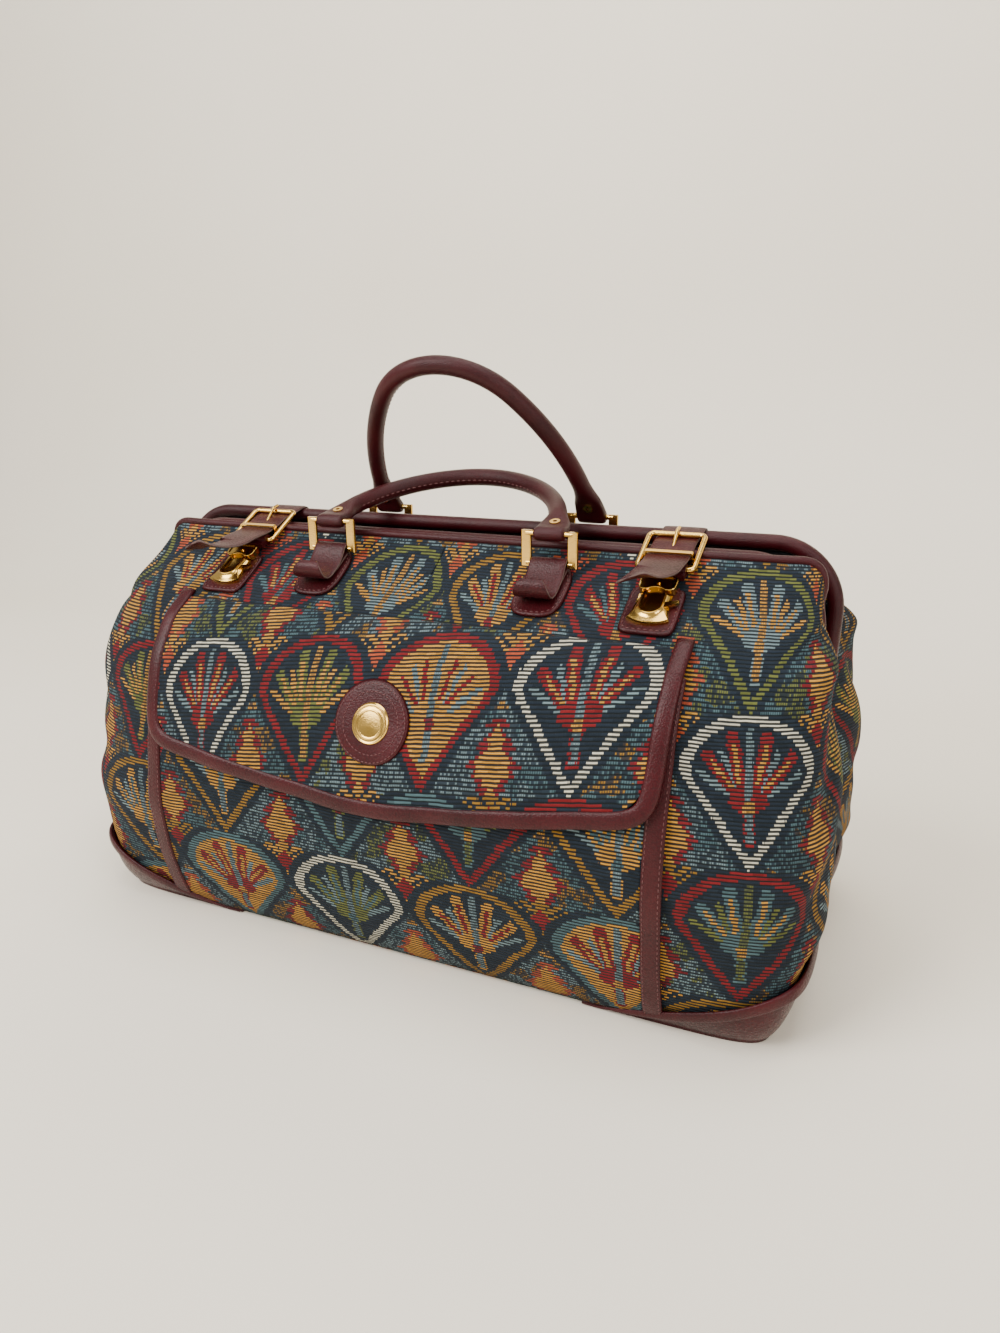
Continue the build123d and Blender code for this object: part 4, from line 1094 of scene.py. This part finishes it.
for end, ring_y, height, arc, degrees in (
    ("front", -RING_REACH, 0.088, 0.080, 73.0),
    ("back", RING_REACH, 0.133, 0.062, -36.0),
):
    middle = rounded(handle_line(RING_PLACE, height, arc), 0.001, 0.0020)
    lean = math.radians(degrees)
    rising = np.array((0, math.sin(lean), math.cos(lean)))
    facing = np.array((0, -math.cos(lean), math.sin(lean)))
    handle_path = np.array((0, ring_y, HANDLE_LEVEL)) + middle[:, :1] * (1, 0, 0) + middle[:, 1:] * rising
    handle_run = run_along(handle_path)
    near = np.minimum(handle_run, handle_run[-1] - handle_run)
    wide = np.interp(near, cuff_run, cuff_wide)
    thick = np.interp(near, cuff_run, cuff_thick)
    corners = np.interp(near, cuff_run, CUFF[:, 3])
    handle_face = np.tile(facing, (len(handle_path), 1))
    grip_name = f"{end}_handle_hide"
    grip = band(grip_name, handle_path, handle_face, wide, thick, smooth_leather, corners, 28)
    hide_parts(f"{end}_handle")
    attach(grip, f"{end}_handle")
    inner = unit(np.cross(np.gradient(handle_path, axis=0), facing))
    inner *= -np.sign(inner[len(inner) // 2] @ rising)
    seam = handle_path + inner * wide[:, None] * 0.98
    rolled = near > ROLLED_FROM
    seam_face = (seam - handle_path)[rolled]
    stitches(f"{end}_handle_seam", seam[rolled], seam_face, f"{end}_handle", 0.0042, 0.0016, 0.0006)


# Closures: a strap sewn behind the back frame passes over it, through a brass buckle and keeper,
# and ends in a loose tail. The billet under it carries the hasp, which drops into the lock.
CLOSURE_PLACE, LOCK_SEAT = 0.163, 0.062
STRAP_HALF, STRAP_THICK, STRAP_SLOPE = 0.0145, 0.0010, math.radians(15)
STRAP_FOOT, FOOT_LIFT = 0.054, 0.0018
# A strap's bends over the back frame, in y and z, and then in mm down its slope and off it
STRAP_BENDS = ((0.0235, 0.2855), (0.0205, 0.2925), (0.0172, 0.2966), (0.0130, 0.2975))
STRAP_RUN = (
    (10, 0), (20, 0.3), (26, 1.4), (34, -0.2), (46, -0.6), (52, -0.5),
    (58, 0.5), (66, 1.6), (74, 2.2), (82, 2.6), (90, 4.6),
)
# The last point of each tail, and how far it strays to the left
STRAP_TIPS = {"left": ((99, 8.6), 0.020), "right": ((93, 6.4), 0.012)}
TAIL_STEPS, TAIL_TWIST, TIP_STEPS = 18, 0.45, 8
# Half width, half length, drop below the seat and corner power of a lock's patch
LOCK_PATCH = (0.018, 0.021, 0.002, 7.0)
slope_run = np.array((-math.cos(STRAP_SLOPE), -math.sin(STRAP_SLOPE))) * 0.001
slope_lift = np.array((-math.sin(STRAP_SLOPE), math.cos(STRAP_SLOPE))) * 0.001
for side, way in SIDES:
    strap_x = way * CLOSURE_PLACE
    lock_patch, covered = f"lock_patch_{side}_hide", f"lock_patch_{side}"
    shoulder_patch(lock_patch, covered, strap_x, LOCK_SEAT, *LOCK_PATCH)
    tip, stray = STRAP_TIPS[side]
    bends = [(STRAP_FOOT, shoulder_level(STRAP_FOOT) + FOOT_LIFT), *STRAP_BENDS]
    for down, off in (*STRAP_RUN, tip):
        bends.append(np.array(STRAP_BENDS[-1]) + down * slope_run + off * slope_lift)
    strap_line = rounded(bends, 0.003, 0.0015)
    last = len(strap_line) - 1
    strap_step = np.arange(len(strap_line))
    tail = smooth(last + 1 - TAIL_STEPS, last, strap_step)
    strap_path = np.column_stack([strap_x - stray * tail, strap_line])
    along = np.gradient(strap_line, axis=0)
    strap_face = unit(np.column_stack([np.zeros(len(along)), along[:, 1], -along[:, 0]]))
    strap_face = unit(strap_face - TAIL_TWIST * tail[:, None] * (1, 0, 0))
    round_share = np.clip((strap_step - (last - TIP_STEPS)) / TIP_STEPS, 0, 1)
    strap_wide = STRAP_HALF * np.sqrt(1 - (0.94 * round_share) ** 2)
    strap_name = f"strap_{side}_hide"
    strap = band(strap_name, strap_path, strap_face, strap_wide, STRAP_THICK, leather, 5.0, cut=True)
    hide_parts(f"strap_{side}", f"strap_anchor_{side}")
    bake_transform(strap)
